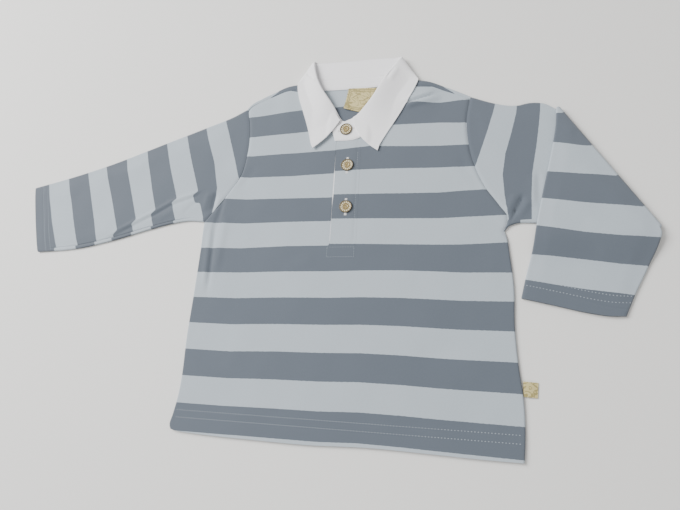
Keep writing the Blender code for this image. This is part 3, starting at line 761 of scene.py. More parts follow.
def shoulderFold(fold, wrap):
    # the back's cloth, half a turn up round the shoulder's fold and then down on the front
    flat = lowered(fold, underFold)
    lift = neckLift(fold[:, 0], flat[:, 1])
    steps = []  # how far below the outline, how high, and how much cloth so far
    for turn in np.radians(np.linspace(-90, 90, backFacts["foldTurns"])):
        steps.append((underFold - edgeRadius * math.cos(turn), backZ + edgeRadius * (1 + math.sin(turn)),
                      edgeRadius * (turn + math.pi / 2)))
    for share in backFacts["wrapShares"]:
        dip = backFacts["edgeDip"] if share == 1 else 0
        steps.append((underFold + wrap * share, frontZ - dip, edgeRadius * math.pi + wrap * share))
    net = np.array([withHeight(lowered(fold, below), height + lift) for below, height, used in steps])
    cloth = np.array([bodyCloth(flat) + stacked(0, used) for below, height, used in steps])
    return (net, cloth) if fold[0][0] < 0 else (net[:, ::-1], cloth[:, ::-1])


def buildBack():
    left, right = backSide(bodyFacts["left"]), backSide(bodyFacts["right"])
    folds = [shoulderLine(bodyFacts[side]["shoulder"], backFacts["shoulderColumns"])
             for side in ("left", "right")]
    baseLeft, baseRight = (lowered(fold, underFold) for fold, wrap in folds)
    left[-1] = baseLeft[0]
    right[-1] = baseRight[0]
    neck = spaced(neckline("back"), backFacts["neckColumns"])
    top = joined(baseLeft, np.concatenate([[baseLeft[-1]], neck, [baseRight[-1]]]), baseRight[::-1])
    hem = np.linspace(left[0], right[0], len(top))
    hem[:, 1] = hemLine(hem[:, 0]) + backFacts["hemRaised"]
    left[0], right[0] = hem[0], hem[-1]
    plan = fillNet(left, right, hem, top)
    nets = [(withHeight(plan, backZ + neckLift(plan[..., 0], plan[..., 1])), bodyCloth(plan))]
    nets += [shoulderFold(fold, wrap) for fold, wrap in folds]
    return clothPiece("backPanel", "back", nets, jerseyWall, jerseyCloth)


frontPanel = buildFront()
backPanel = buildBack()
print("body: front and back panels")


# sleeves, each a flattened tube whose points run round it from its overarm edge

sleeveFacts = {
    "wall": 0.75,
    "clothWidth": 110,  # of one layer, for the weave
    "puff": 0.9,
    "puffShares": (0.2, 0.7),  # shares of the length where it is full, and where it begins to sink
    "puffLeft": 0.4,  # share of the puff that is left at the cuff
    "edgeReach": 0.16,  # share of the width over which puff and creases fade out
    "cuffReach": 0.03,
    "edgeTurns": (0, 25, 45, 68),  # degrees round the tube's edges
    "armholeDip": (0.5, 1.5),  # depth and half width
}
sleeveShares = np.concatenate([
    [0, 0.0012, 0.0035, 0.007], np.linspace(0.012, 0.93, 64), np.linspace(0.936, 0.988, 10),
    [0.993, 0.9965, 0.9988, 1]])
straightFacts = {
    "overarm": ((-112.6, 318.4), (-125, 312), (-158, 300.5), (-204, 285.5), (-274, 263), (-321, 251),
                (-363, 242)),
    "underarm": ((-145.3, 196.8), (-163, 198), (-180, 196), (-206, 190), (-247, 179), (-293, 170),
                 (-340, 167)),
    "cuff": ((-363, 242), (-352, 203), (-340, 167)),
    "rows": 136,
    "length": 250,
    # how far left of the middle each stripe's edge lies, at these heights
    "stripes": {
        "across": (170, 200, 230, 260, 290, 318),
        0: (60, 74, 85, 94, 103, 112),
        1: (92, 101, 110, 119.5, 129.8, 140),
        2: (152, 139, 135.3, 142.5, 154.2, 164),
        3: (140, 146.5, 156.6, 168, 178.3, 188),
        4: (160, 172, 182.7, 194, 204, 213),
        5: (188, 199, 209.5, 219.5, 229, 238),
        6: (212, 223.5, 235, 246, 256.6, 266),
        7: (236.5, 248.5, 260.5, 272.9, 284, 294),
        8: (265, 275, 286, 297.5, 309, 320),
        9: (289, 301, 312.5, 324, 335, 345),
        10: (316.5, 329.5, 340.5, 351, 361, 370),
        11: (342, 353.4, 364.8, 375.3, 385.3, 394),
    },
    "ridge": ((-150, 229), (-158, 225.5), (-184, 218), (-204, 207), (-227, 196), (-246, 186), (-268, 174)),
    "ridgeFade": ((0, 0.08), (1, 0.85)),  # from nothing to full at either end
    "ridgeJump": 6.5,  # the pleat hides this much cloth
    "ridgeFoot": 2.6,
    "ridgeSlant": 0.88,  # turns a height above the pleat into a distance from it
    "ridgeHigh": (0.8, 2.2),  # height and half width
    "ridgeLow": (0.6, 3.4, 2.0),  # depth, distance below the pleat and half width of the hollow
    "seamInset": 3.0,  # the underarm seam has rolled this far on to the front
    "seamFade": ((0, 0.15), (0.94, 0.88)),
    "seamJump": 3.0,
    "seamDip": (0.55, 0.55),
    "ripple": 0.45,
    "creases": (
        (-135.5, 228, -138, 203, 2.0, -1.5),
        (-143, 228, -147, 204, 2.8, 0.7),
        (-130, 222, -134, 206, 2.2, 0.5),
        (-150, 222, -172, 202, 3.0, -0.4),
        (-176, 212, -200, 196, 3.0, 0.4),
        (-300, 236, -345, 226, 7.0, 0.35),
        (-220, 262, -262, 248, 8.0, 0.3),
        (-240, 176, -330, 173, 2.0, -0.35),
        (-200, 198, -245, 186, 2.0, -0.3),
    ),
}
foldedFacts = {
    "overarm": ((113.1, 309.8), (134, 301), (144, 298), (154, 297), (163, 298.5), (176, 296.5), (185.1, 290)),
    "underarm": ((138.8, 178.7), (141.6, 182.4), (147, 185), (163, 185.5), (200, 182.5), (253.4, 177.6)),
    "fold": ((185.1, 290), (253.4, 177.6)),
    "foreOverarm": ((185.1, 290), (184, 275), (179, 248), (170, 209), (164, 181), (160, 159), (154, 136),
                    (150.5, 121)),
    "foreUnderarm": ((253.4, 177.6), (254.4, 173.5), (252.6, 167), (243.6, 147), (233, 126), (225, 108)),
    "cuff": ((150.5, 121), (177, 115), (199, 110), (215, 107.8), (225, 108)),
    "rows": 88,
    "length": 100,
    "foreRows": 110,
    "foreLength": 150,
    "foldHeight": 3.1,  # of the axis round which it is folded
    "foldTurns": 14,
    "lands": (176.0, 146.0),  # it leaves the upper arm at the first y and lies at the second
    # how far right of the middle each stripe's edge lies on the upper arm, at these heights
    "stripes": {
        "across": (181, 189, 210, 230, 250, 270, 290, 300),
        0: (68, 73, 82, 89, 96, 102, 108, 111),
        1: (97, 100, 106, 113, 119.8, 126.3, 132.3, 134.7),
        2: (138, 143.4, 140.5, 139.2, 142, 148, 153.5, 154.5),
        3: (160.8, 161.2, 162, 164, 168, 172, 176.2, 177.5),
        4: (184.8, 185.4, 187, 189, 192, 196, 200, 202),
        8: (280.8, 281.4, 283, 285, 288, 292, 296, 298),
    },
    # how far below this height each lies on the forearm, at these places across
    "foreTop": 340.0,
    "foreStripes": {
        "across": (150, 175, 200, 225, 255),
        3: (28, 31, 34, 37, 40),
        4: (52, 55, 58, 61, 64),
        5: (77, 82.7, 88.7, 92, 96),
        6: (107, 111.1, 115, 117.9, 121),
        7: (131, 136, 140.5, 143.5, 147),
        8: (156, 161, 165.7, 169, 171),
        9: (182, 184.6, 188, 191.6, 194),
        10: (203.2, 208, 212, 215, 219),
        11: (227, 232, 236, 239, 243),
    },
    # beyond seamFrom the underarm seam has rolled on to the front, so that a stripe shows out of its place
    "seamFrom": 147,
    "seamInset": 2.2,
    "seamJump": 9.0,
    "puff": 0.6,  # share of the puff on the upper arm
    "ripple": 0.3,
    "foreRipple": 0.35,
    "creases": (
        (141.5, 180, 150, 199, 1.4, -2.3),
        (146.5, 192, 156, 212, 1.4, -1.9),
        (150, 187, 160, 206, 2.2, 1.0),
        (140, 192, 149, 212, 2.2, 0.8),
        (150, 187.8, 172, 187.6, 0.8, -0.9),
        (168, 234, 167, 194, 2.5, -0.7),
        (163, 230, 161, 196, 3.0, 0.35),
        (120, 300, 128, 255, 6.0, 0.3),
    ),
    "foreCreases": (
        (178, 282, 200, 262, 4.0, 0.4),
        (200, 240, 236, 196, 8.0, 0.35),
        (176, 200, 205, 178, 7.0, -0.35),
        (205, 160, 240, 150, 7.0, 0.3),
    ),
}


def ringOf(plan, topZ, bottomZ, cloth):
    # rows of plan points made into rings: the upper layer, then the lower one back
    middle, half = (topZ + bottomZ) / 2, (topZ - bottomZ) / 2
    bulge = np.ones(len(sleeveShares))
    for i, angle in enumerate(sleeveFacts["edgeTurns"]):
        bulge[i] = bulge[-1 - i] = math.sin(math.radians(angle))
    layers = withHeight(plan, middle + half * bulge), withHeight(plan, middle - half * bulge)
    return [np.concatenate([upper, lower[:, -2:0:-1]], axis=1) for upper, lower in (layers, (cloth, cloth))]


def sleeveWindow(reach):
    return smooth(np.minimum(sleeveShares, 1 - sleeveShares) / reach)


def sleeveNet(start, end, overarm, underarm, rows):
    # a layer of a sleeve between two lines across it, with each row's share of its length
    overarm, underarm = spaced(overarm, rows), spaced(underarm, rows)
    start[0], start[-1] = overarm[0], underarm[0]
    return fillNet(overarm, underarm, start, end, sleeveShares), shares(rows)[:, None]


def armholeLine(side, gap):
    line = routeThrough(bodyFacts[side]["armhole"][::-1])(sleeveShares)
    line[:, 0] += gap
    return line


def sleeveCloth(count):
    return stacked(sleeveShares * sleeveFacts["clothWidth"], count * stripe)


def sleevePuff(share):
    full, sinks = sleeveFacts["puffShares"]
    left = sleeveFacts["puffLeft"]
    return sleeveFacts["puff"] * ramp(share, 0, full) * (left + (1 - left) * ramp(share, 1, sinks))


def armholeDip(distance):
    depth, width = sleeveFacts["armholeDip"]
    return depth * bump(distance / width)


def sleeveRise(rise, fromCuff=math.inf):
    # puff and creases fade out towards both edges, and the turned cuff only close to them
    cuff = turnedHem(fromCuff, "cuff") * sleeveWindow(sleeveFacts["cuffReach"])
    return rise * sleeveWindow(sleeveFacts["edgeReach"]) + cuff


def buildStraightSleeve():
    facts = straightFacts
    armhole, cuff = armholeLine("left", -seamGap), routeThrough(facts["cuff"])(sleeveShares)
    plan, share = sleeveNet(armhole, cuff, facts["overarm"], facts["underarm"], facts["rows"])
    x, y = plan[..., 0], plan[..., 1]

    # the stripes are shifted below a pleat, and again below the seam along the lower edge
    ridge = np.array(facts["ridge"], float)
    aside = (y - np.interp(-x, -ridge[:, 0], ridge[:, 1])) * facts["ridgeSlant"]
    along = (x - ridge[0, 0]) / (ridge[-1, 0] - ridge[0, 0])
    onRidge = between(along, *facts["ridgeFade"])
    fromEdge = np.linalg.norm(plan - plan[:, -1:], axis=2)
    onSeam = between(share, *facts["seamFade"])
    shift = facts["ridgeJump"] * onRidge * smooth(0.5 - aside / facts["ridgeFoot"])
    shift = shift + facts["seamJump"] * onSeam * (fromEdge < facts["seamInset"])
    cloth = sleeveCloth(stripeCount(y, -x - shift, facts["stripes"]))

    high, highWidth = facts["ridgeHigh"]
    low, below, lowWidth = facts["ridgeLow"]
    rise = sleevePuff(share) + ripple(x, y, facts["ripple"]) * ramp(share, 0, 0.1)
    rise = rise + onRidge * (high * bump(aside / highWidth) - low * bump((aside + below) / lowWidth))
    rise = rise + creases(x, y, facts["creases"])
    topZ = frontZ + sleeveRise(rise, (1 - share) * facts["length"]) - armholeDip(share * facts["length"])
    depth, width = facts["seamDip"]
    topZ = topZ - onSeam * depth * bump((fromEdge - facts["seamInset"]) / width)
    ring = ringOf(plan, topZ, backZ, cloth)
    return clothPiece("straightSleeve", "sleeve_right", [ring], sleeveFacts["wall"], jerseyCloth, True), plan


def buildFoldedSleeve():
    facts = foldedFacts
    foldHeight = facts["foldHeight"]
    fold = np.array(facts["fold"], float)
    foldLine = fold[0] + (fold[1] - fold[0]) * sleeveShares[:, None]
    atFold = stripeCount(foldLine[:, 0], facts["foreTop"] - foldLine[:, 1], facts["foreStripes"])

    # upper arm, from the armhole to the fold, where its stripes meet the forearm's
    armhole = armholeLine("right", seamGap)
    plan, share = sleeveNet(armhole, foldLine, facts["overarm"], facts["underarm"], facts["rows"])
    x, y = plan[..., 0], plan[..., 1]
    fromEdge = np.linalg.norm(plan - plan[:, -1:], axis=2)
    shift = facts["seamJump"] * (fromEdge < facts["seamInset"]) * (x > facts["seamFrom"])
    count = stripeCount(y, x + shift, facts["stripes"])
    count = count + share**3 * (atFold - count[-1])
    rise = facts["puff"] * sleeveFacts["puff"] * between(share, (0, 0.3), (1, 0.7))
    rise = rise + creases(x, y, facts["creases"])
    rise = rise + ripple(x, y, facts["ripple"]) * between(share, (0, 0.2), (1, 0.8))
    topZ = frontZ + sleeveRise(rise) - armholeDip(share * facts["length"])
    upper = ringOf(plan, topZ, backZ, sleeveCloth(count))

    # the fold, half a turn about an axis that lies above the upper arm
    flat, flatCloth = ringOf(foldLine[None], frontZ, backZ, sleeveCloth(atFold)[None])
    flat, flatCloth = flat[0], flatCloth[0]
    direction = unit(fold[1] - fold[0])
    outward = np.array([-direction[1], direction[0]])
    radius = foldHeight - flat[:, 2]
    turns = np.linspace(0, math.pi, facts["foldTurns"])[1:-1, None]
    around = flat[:, :2] + outward * (radius * np.sin(turns))[..., None]
    bend = withHeight(around, foldHeight - radius * np.cos(turns))

    # forearm, upside down on the upper arm and then on the floor
    cuff = routeThrough(facts["cuff"])(sleeveShares)
    plan, share = sleeveNet(foldLine, cuff, facts["foreOverarm"], facts["foreUnderarm"], facts["foreRows"])
    x, y = plan[..., 0], plan[..., 1]
    cloth = sleeveCloth(stripeCount(x, facts["foreTop"] - y, facts["foreStripes"]))
    hiddenZ, shownZ = 2 * foldHeight - frontZ, 2 * foldHeight - backZ
    drop = (hiddenZ - backZ) * ramp(y, *facts["lands"])
    rise = sleevePuff(share) + creases(x, y, facts["foreCreases"])
    rise = rise + ripple(x, y, facts["foreRipple"]) * ramp(share, 0, 0.2)
    rise = sleeveRise(rise, (1 - share) * facts["foreLength"])
    lower = ringOf(plan, hiddenZ - drop, shownZ - drop + rise, cloth)

    folded = (bend, np.broadcast_to(flatCloth, (len(bend), *flatCloth.shape)))
    ring = [np.concatenate(parts) for parts in zip(upper, folded, lower)]
    return clothPiece("foldedSleeve", "sleeve_left", [ring], sleeveFacts["wall"], jerseyCloth, True), plan


sleeveRight, straightPlan = buildStraightSleeve()
sleeveLeft, foldedPlan = buildFoldedSleeve()
print("sleeves: one straight, one folded")


# collar, from the table that stands before the body

def collarSections():
    rows, steps = collarFacts["rows"], collarFacts["steps"]
    table = routeThrough(rows, even=True)(shares(steps * (len(rows) - 1) + 1))
    at = dict(zip(collarFacts["columns"], table.T))
    onBack = ramp(at["rise"], 0.3, 0)
    at["seamZ"] = (backZ + 0.1 + layerStep * at["rise"] + neckLift(at["seamX"], at["seamY"])
                   + collarFacts["seamLift"] * onBack)
    return at


def placesOf(at, part):
    return stacked(*(at[part + axis] for axis in "XYZ"))


def placketRise(x, y):
    height, left, right, up = collarFacts["overPlacket"]
    return height * ramp(x, *left) * ramp(x, *right) * ramp(y, *up)


def buildStand():
    facts = collarFacts
    at = collarSections()
    seam, roll = placesOf(at, "seam"), placesOf(at, "roll")
    share = shares(facts["standColumns"])[None]
    net = seam[:, None] + (roll - seam)[:, None] * share[..., None]
    # the band's upper seam shows as a groove and a soft step inside the neck
    inside = ramp(at["turn"], *facts["bandTurn"])[:, None]
    along = share - facts["bandSeam"]
    step, stepWidth = facts["bandStep"]
    groove, grooveWidth = facts["bandGroove"]
    net[..., 2] += inside * (step * smooth(0.5 - along / stepWidth) - groove * bump(along / grooveWidth))
    sink, sinkWidth = facts["seamSink"]
    net[..., 2] -= sink * (1 - smooth(share / sinkWidth))
    return clothPiece("collarStand", "collar_stand", [(net, gridCloth(net))], facts["wall"], whiteCloth)


def buildFall():
    facts = collarFacts
    first, last = (facts["steps"] * row for row in facts["fallRows"])
    at = {name: values[first:last + 1] for name, values in collarSections().items()}
    seam, roll, leaf = (placesOf(at, part) for part in ("seam", "roll", "leaf"))
    turn = np.radians(at["turn"])[:, None]
    up = unit(roll - seam)
    aside = stacked(-up[:, 1], up[:, 0], 0)
    aside *= np.sign(aside[:, :1] * (roll[:, :1] - facts["neckMiddle"]))
    outside = np.cos(turn) * np.array([0, 0, 1]) + np.sin(turn) * aside
    outside = unit(outside - np.sum(outside * up, axis=1)[:, None] * up)

    # over the roll, whose radius shrinks towards the front ends
    endRow = np.arange(len(roll)) / facts["steps"]
    fromEnd = np.minimum(endRow, endRow[-1] - endRow)
    least = facts["endRadius"]
    radius = (facts["rollRadius"] * (least + (1 - least) * ramp(fromEnd, 0, 3)))[:, None]
    centre = roll + outside * radius
    columns = [centre + radius * (math.cos(tilt) * up + math.sin(tilt) * outside)
               for tilt in np.radians(np.linspace(-30, 90, facts["rollColumns"]))]

    # down to the leaf's edge, and no lower than the cloth beneath
    crest = columns[-1]
    drop = leaf - crest
    sideways = unit(stacked(-drop[:, 1], drop[:, 0]))
    onTop = ramp(at["turn"], 70, 30)
    (rightLift, leftLift), (rightRows, leftRows) = facts["endLift"], facts["liftRows"]
    lift = rightLift * ramp(endRow, rightRows, 0) + leftLift * ramp(endRow, endRow[-1] - leftRows, endRow[-1])
    groove, grooveAt, grooveWidth = facts["hemGroove"]
    for share in shares(facts["leafColumns"])[1:]:
        point = crest + drop * share
        point[:, :2] += sideways * (at["bow"] * math.sin(math.pi * share))[:, None]
        point[:, 2] = crest[:, 2] + drop[:, 2] * smooth(share**0.8)
        x, y = point[:, 0], point[:, 1]
        rest = (frontZ + jerseyWall / 2 + facts["clearance"] + facts["wall"] / 2 + frontShape(x, y)
                + placketRise(x, y) + lift * ramp(share, 0, 0.7)
                - groove * bump((share - grooveAt) / grooveWidth))
        point[:, 2] += np.maximum(rest - point[:, 2], 0) * onTop
        point[:, 2] += creases(x, y, facts["creases"]) * onTop
        columns.append(point)
    net = np.stack(columns, axis=1)
    return clothPiece("collarFall", "collar_fall", [(net, gridCloth(net))], facts["wall"], whiteCloth)


collarStand = buildStand()
collarFall = buildFall()
print("collar: stand and fall")


# placket

placketFacts = {
    # where the upper strip's left and right edges lie at these heights
    "left": ((156, -16.3), (165.8, -16.3), (167.6, -15), (170, -12.9), (181, -12.75), (190, -12.8),
             (193, -13.02), (200, -13.02), (208, -12.9), (212, -12.7), (216, -12.45), (238, -12.45),
             (241, -12.75), (246, -12.98), (256, -13.05), (264, -13.2), (281, -13.25)),
    "right": ((156, 10.9), (165.8, 10.9), (167.6, 11.3), (170, 11.35)),
    "rows": 110,
    "columns": 28,
    "raised": 0.37,  # the upper strip's middle above the front's, along its free edge
    "flush": 0.06,  # and where it is sewn down
    "sewnAcross": (4, 11),  # between these places across and up, one passes into the other
    "sewnUp": (166, 174),
    "stripesFrom": -12.9,  # left of this the stripes keep their height
    "topstitch": ((8.6, 172), (8.6, 262)),
    "groove": (0.12, 0.6),  # under the topstitching: depth and half width
    "box": ((-15.4, 166.4), (-15.4, 157.1), (9.9, 157.1), (9.9, 166.2), (-15.4, 166.4)),
    "tack": ((-16.1, 165.9), (-15.9, 166.4), (-15.7, 166.9)),
    "underWall": 0.6,
    "underRows": 90,
    "underReach": 5.0,  # how far right the lower strip goes
    "underLow": 0.42,  # how far its middle lies below the front's
    "edgeRise": 0.5,  # and its edge above that, beside the upper strip
    "edgeGap": 0.12,
}


def buildPlacket():
    facts = placketFacts
    foot, head = facts["left"][0][0], facts["left"][-1][0]
    y = np.linspace(foot, head, facts["rows"])[:, None]
    left, right = (np.interp(y, *np.transpose(facts[edge])) for edge in ("left", "right"))
    x = left + (right - left) * shares(facts["columns"])
    # raised on its free left side, and level with the front along its seam on the right and at its foot
    free = (1 - ramp(x, *facts["sewnAcross"])) * ramp(y, *facts["sewnUp"])
    seamX, seamFoot = facts["topstitch"][0]
    depth, width = facts["groove"]
    groove = depth * bump((x - seamX) / width) * ramp(y, seamFoot, seamFoot + 2)
    rise = facts["flush"] + (facts["raised"] - facts["flush"]) * free - groove
    y = np.broadcast_to(y, x.shape)
    net = stacked(x, y, frontZ + frontShape(x, y) + rise)
    cloth = bodyCloth(stacked(np.maximum(x, facts["stripesFrom"]), y))
    over = clothPiece("placketOver", "placket_over", [(net, cloth)], jerseyWall, jerseyCloth)

    # the lower strip is white inside, and its edge shows as a line beside the upper one
    slotLeft, _, slotFoot = bodyFacts["slot"]
    y = np.linspace(slotFoot + 0.1, head, facts["underRows"])[:, None]
    free = np.interp(y, *np.transpose(facts["left"]))
    edge, shown = free - facts["edgeGap"], slotLeft + 0.04
    x = np.concatenate([shown + (edge - shown) * shares(4),
                        free + (facts["underReach"] - free) * np.linspace(0.03, 1, 10)], axis=1)
    y = np.broadcast_to(y, x.shape)
    turned = ramp(x, edge, edge - 0.35)
    net = stacked(x, y, frontZ + frontShape(x, y) - facts["underLow"] + facts["edgeRise"] * turned)
    under = clothPiece("placketUnder", "placket_under", [(net, net[..., :2])], facts["underWall"], whiteCloth)
    return over, under


placketOver, placketUnder = buildPlacket()
print("placket: two strips")


# label and tag, in woven tape

tapeFacts = {
    "tint": "#CCBE86",
    "woven": "#8E8048",  # the pattern's darker thread
    "thread": 0.5,  # real ones are 0.2, too fine to show
    "scroll": 5.9,  # size of the pattern's scrolls
    "scrollLine": 0.055,  # half width of their lines, as a share of the noise's range
    "borderLine": 0.45,
    "depth": 0.8,  # share of the darker thread in a line
    "weave": 0.6,
    "relief": (0.5, 0.2),
    "slub": (0.9, 0.3, 0.85),  # size of the yarn's uneven places, their change of tone, and its least
}
labelFacts = {
    "corners": ((-4.2, 331), (27, 328.5), (23, 299.5), (-8, 308.6)),  # upper left, and on clockwise
    "net": (40, 34),  # columns and rows
    "size": (31, 25),
    "borders": (1.8, 3.4),  # distance of the woven frames from the edge
    "wall": 0.5,
    "above": 0.65,  # its middle over the back's upper side
    "curl": (1.5, -7, 308, 6),  # of its loose corner: height, place and reach
    "wave": (0.25, 3.4, 305, 8),  # along its foot: height, length, place and reach
}
tagFacts = {
    "corners": ((149.2, 44.5), (159, 44), (160, 55.5), (149.2, 56)),  # lower left, and on to the right
    "net": (20, 18),
    "size": (10, 12),
    "borders": (),
    "wall": 0.3,
    "seam": 149,  # where it is caught, and how far out it reaches
    "reach": 11,
    "layers": (0.27, 0.45),  # heights of its two layers
    "held": 0.85,  # how much the seam lifts the upper one
    "bow": 0.35,
    "turns": (60, 20, -20, -60),  # degrees round its folded end
    "turnRadius": 0.22,
}


def wovenTape(name, facts):
    # damask tape: beige, with scrolls and any borders woven in a darker thread, and a little satin sheen
    material, add = newMaterial(name, Roughness=0.55, Sheen_Weight=0.2, Specular_IOR_Level=0.4)
    place = add("UVMap", uv_map="cloth")
    axes = add("SeparateXYZ", place).node.outputs
    tint, dark = toLinear(tapeFacts["tint"]), toLinear(tapeFacts["woven"])
    inside = []
    for axis, size in zip("XY", facts["size"]):
        fromMiddle = add("Math", axes[axis], size * mm / 2, operation="SUBTRACT")
        fromMiddle = add("Math", fromMiddle, operation="ABSOLUTE")
        inside.append(add("Math", size * mm / 2, fromMiddle, operation="SUBTRACT"))
    nearest = add("Math", *inside, operation="MINIMUM")
    scroll = add("TexNoise", Vector=place, Scale=1 / (tapeFacts["scroll"] * mm), Detail=0,
                     Distortion=1.6)
    woven = add("Math", scroll, 0.5, tapeFacts["scrollLine"], operation="COMPARE")
    line = tapeFacts["borderLine"] * mm
    for distance in facts["borders"]:
        border = add("Math", nearest, distance * mm, line, operation="COMPARE")
        woven = add("Math", woven, border, operation="MAXIMUM")
    woven = add("Math", woven, tapeFacts["depth"], operation="MULTIPLY")
    colour = add("Mix", woven, tint, dark, data_type="RGBA")
    patch, change, least = tapeFacts["slub"]
    slub = add("TexNoise", Vector=place, Scale=1 / (patch * mm), Detail=2)
    tone = add("Math", slub, change, least, operation="MULTIPLY_ADD")
    colour = add("VectorMath", colour, tone, operation="SCALE")
    weave = weaveHeight(add, place, tapeFacts["thread"], tapeFacts["thread"], tapeFacts["weave"])
    dress(material, colour, weave, *tapeFacts["relief"])
    return material, "label_tape"


def patchNet(facts):
    # a patch between four corners, with its cloth coordinates
    a, b, c, d = np.array(facts["corners"], float)
    columns, rows = facts["net"]
    plan = fillNet(np.linspace(a, d, rows), np.linspace(b, c, rows), np.linspace(a, b, columns),
                   np.linspace(d, c, columns))
    width, height = facts["size"]
    return plan, stacked(np.linspace(0, width, columns), np.linspace(0, height, rows)[:, None])


def buildLabel():
    plan, cloth = patchNet(labelFacts)
    x, y = plan[..., 0], plan[..., 1]
    wave, length, waveY, waveReach = labelFacts["wave"]
    curl, curlX, curlY, curlReach = labelFacts["curl"]
    rise = (wave * np.sin(x / length) * bump((y - waveY) / waveReach)
            + curl * bump(np.hypot(x - curlX, y - curlY) / curlReach))
    net = withHeight(plan, backZ + jerseyWall / 2 + labelFacts["above"] + neckLift(x, y) + rise)
    tape = wovenTape("labelTape", labelFacts)
    return clothPiece("neckLabel", "neck_label", [(net, cloth)], labelFacts["wall"], tape)


def buildTag():
    # a loop of tape, folded at its outer end and caught in the side seam
    plan, cloth = patchNet(tagFacts)
    reach = np.clip((plan[..., 0] - tagFacts["seam"]) / tagFacts["reach"], 0, 1)
    low, high = tagFacts["layers"]
    top = high + tagFacts["held"] * (1 - reach) + tagFacts["bow"] * np.sin(math.pi * reach)
    last, middle, radius = plan[:, -1], (top[:, -1] + low) / 2, tagFacts["turnRadius"]
    turns = [radius * axesAt(angle)[0] for angle in tagFacts["turns"]]
    turn = [withHeight(last + (out, 0), middle + up) for out, up in turns]
    layers = (withHeight(plan, top), turn, withHeight(plan, low)), (cloth, [cloth[:, -1]] * len(turn), cloth)
    net = [np.concatenate([upper, np.stack(bend, axis=1), lower[:, ::-1]], axis=1)
           for upper, bend, lower in layers]
    return clothPiece("sideTag", "side_tag", [net], tagFacts["wall"], wovenTape("tagTape", tagFacts))


neckLabel = buildLabel()
sideTag = buildTag()
print("label and tag")


# buttons

buttonFacts = {
    "radius": 6.0,
    "thick": 2.1,
    "sides": 64,
    # inset and drop of each step in from the rim, and of the one below
    "steps": ((0.75, 0), (0.3, 0.4), (1.9, 0), (0.25, -0.15), (0.7, 0), (0.4, 0.25)),
    "underStep": (1.2, 0.25),
    "softEdge": 0.2,
    "hole": 0.5,  # radius, and distance from the middle
    "holeAt": 1.05,
    "shank": 0.25,  # thread between the button and the cloth
    # share of the radius where each tint begins, from the middle out
    "rings": ((0.0, "#A8935E"), (0.36, "#66542E"), (0.47, "#8A7542"), (0.58, "#6A5830"), (0.88, "#4C4026")),
    "dashes": "#D9CEA9",
    "dashCount": 14,
    "dashRadius": 4.15,
    "dashHalf": 0.75,  # half their width
    "dashShare": -0.25,  # below 0 they are longer than the gaps
    "grain": (1.7, 0.4, 0.8),  # size of the resin's clouds, their change of tone, and its least
}
buttonPlaces = {
    # CAD node, x, y, what it lies on, and the direction of its buttonhole and its own turn in degrees
    "topButton": ("button_1", -4, 284.8, collarStand, 8, 20),
    "middleButton": ("button_2", -0.9, 247.0, placketOver, 90, 65),
    "lowerButton": ("button_3", 0.0, 205, placketOver, 90, 40),
}


def buttonResin():
    # cast polyester imitating horn, polished: golden rings and a dashed cream band under the gloss
    facts = buttonFacts
    material, add = newMaterial("hornResin", Roughness=0.35, Specular_IOR_Level=0.5, Coat_Weight=0.25,
                                 Coat_Roughness=0.2)
    place = add("UVMap", uv_map="cloth")
    distance = add("VectorMath", place, operation="LENGTH")
    share = add("Math", distance, facts["radius"] * mm, operation="DIVIDE")
    rings = add("ValToRGB", share)
    ramps = rings.node.color_ramp
    ramps.interpolation = "CONSTANT"
    for i, (start, tint) in enumerate(facts["rings"]):
        stop = ramps.elements[i] if i < 2 else ramps.elements.new(start)
        stop.position = start
        stop.color = toLinear(tint)
    axes = add("SeparateXYZ", place).node.outputs
    angle = add("Math", axes["Y"], axes["X"], operation="ARCTAN2")
    turns = add("Math", angle, facts["dashCount"], operation="MULTIPLY")
    wave = add("Math", turns, operation="SINE")
    dash = add("Math", wave, facts["dashShare"], operation="GREATER_THAN")
    radius, half = facts["dashRadius"] * mm, facts["dashHalf"] * mm
    band = add("Math", distance, radius, half, operation="COMPARE")
    both = add("Math", dash, band, operation="MULTIPLY")
    colour = add("Mix", both, rings, toLinear(facts["dashes"]), data_type="RGBA")
    patch, change, least = facts["grain"]
    grain = add("TexNoise", Vector=place, Scale=1 / (patch * mm), Detail=3, Distortion=1.2)
    tone = add("Math", grain, change, least, operation="MULTIPLY_ADD")
    dress(material, add("VectorMath", colour, tone, operation="SCALE"))
    return material


def onCloth(piece, x, y):
    # where a plumb line meets the piece, and which way it faces there
    start = Vector((x * mm, (y - bodyMid) * mm, 0.05))
    found, place, normal, _ = piece.ray_cast(start, Vector((0, 0, -1)))
    return (place, normal) if found else (None, None)


def pickFaces(piece, test):
    bpy.ops.mesh.select_all(action="DESELECT")
    work = bmesh.from_edit_mesh(piece.data)
    for face in work.faces:
        if test(face):
            face.select_set(True)
    bmesh.update_edit_mesh(piece.data)


def insetFaces(width, drop):
    bpy.ops.mesh.inset(thickness=width * mm)
    bpy.ops.transform.translate(value=(0, 0, -drop * mm))


def addCylinder(sides, radius, depth, place):
    bpy.ops.object.select_all(action="DESELECT")
    bpy.ops.mesh.primitive_cylinder_add(vertices=sides, radius=radius, depth=depth, location=place)
    return bpy.context.object


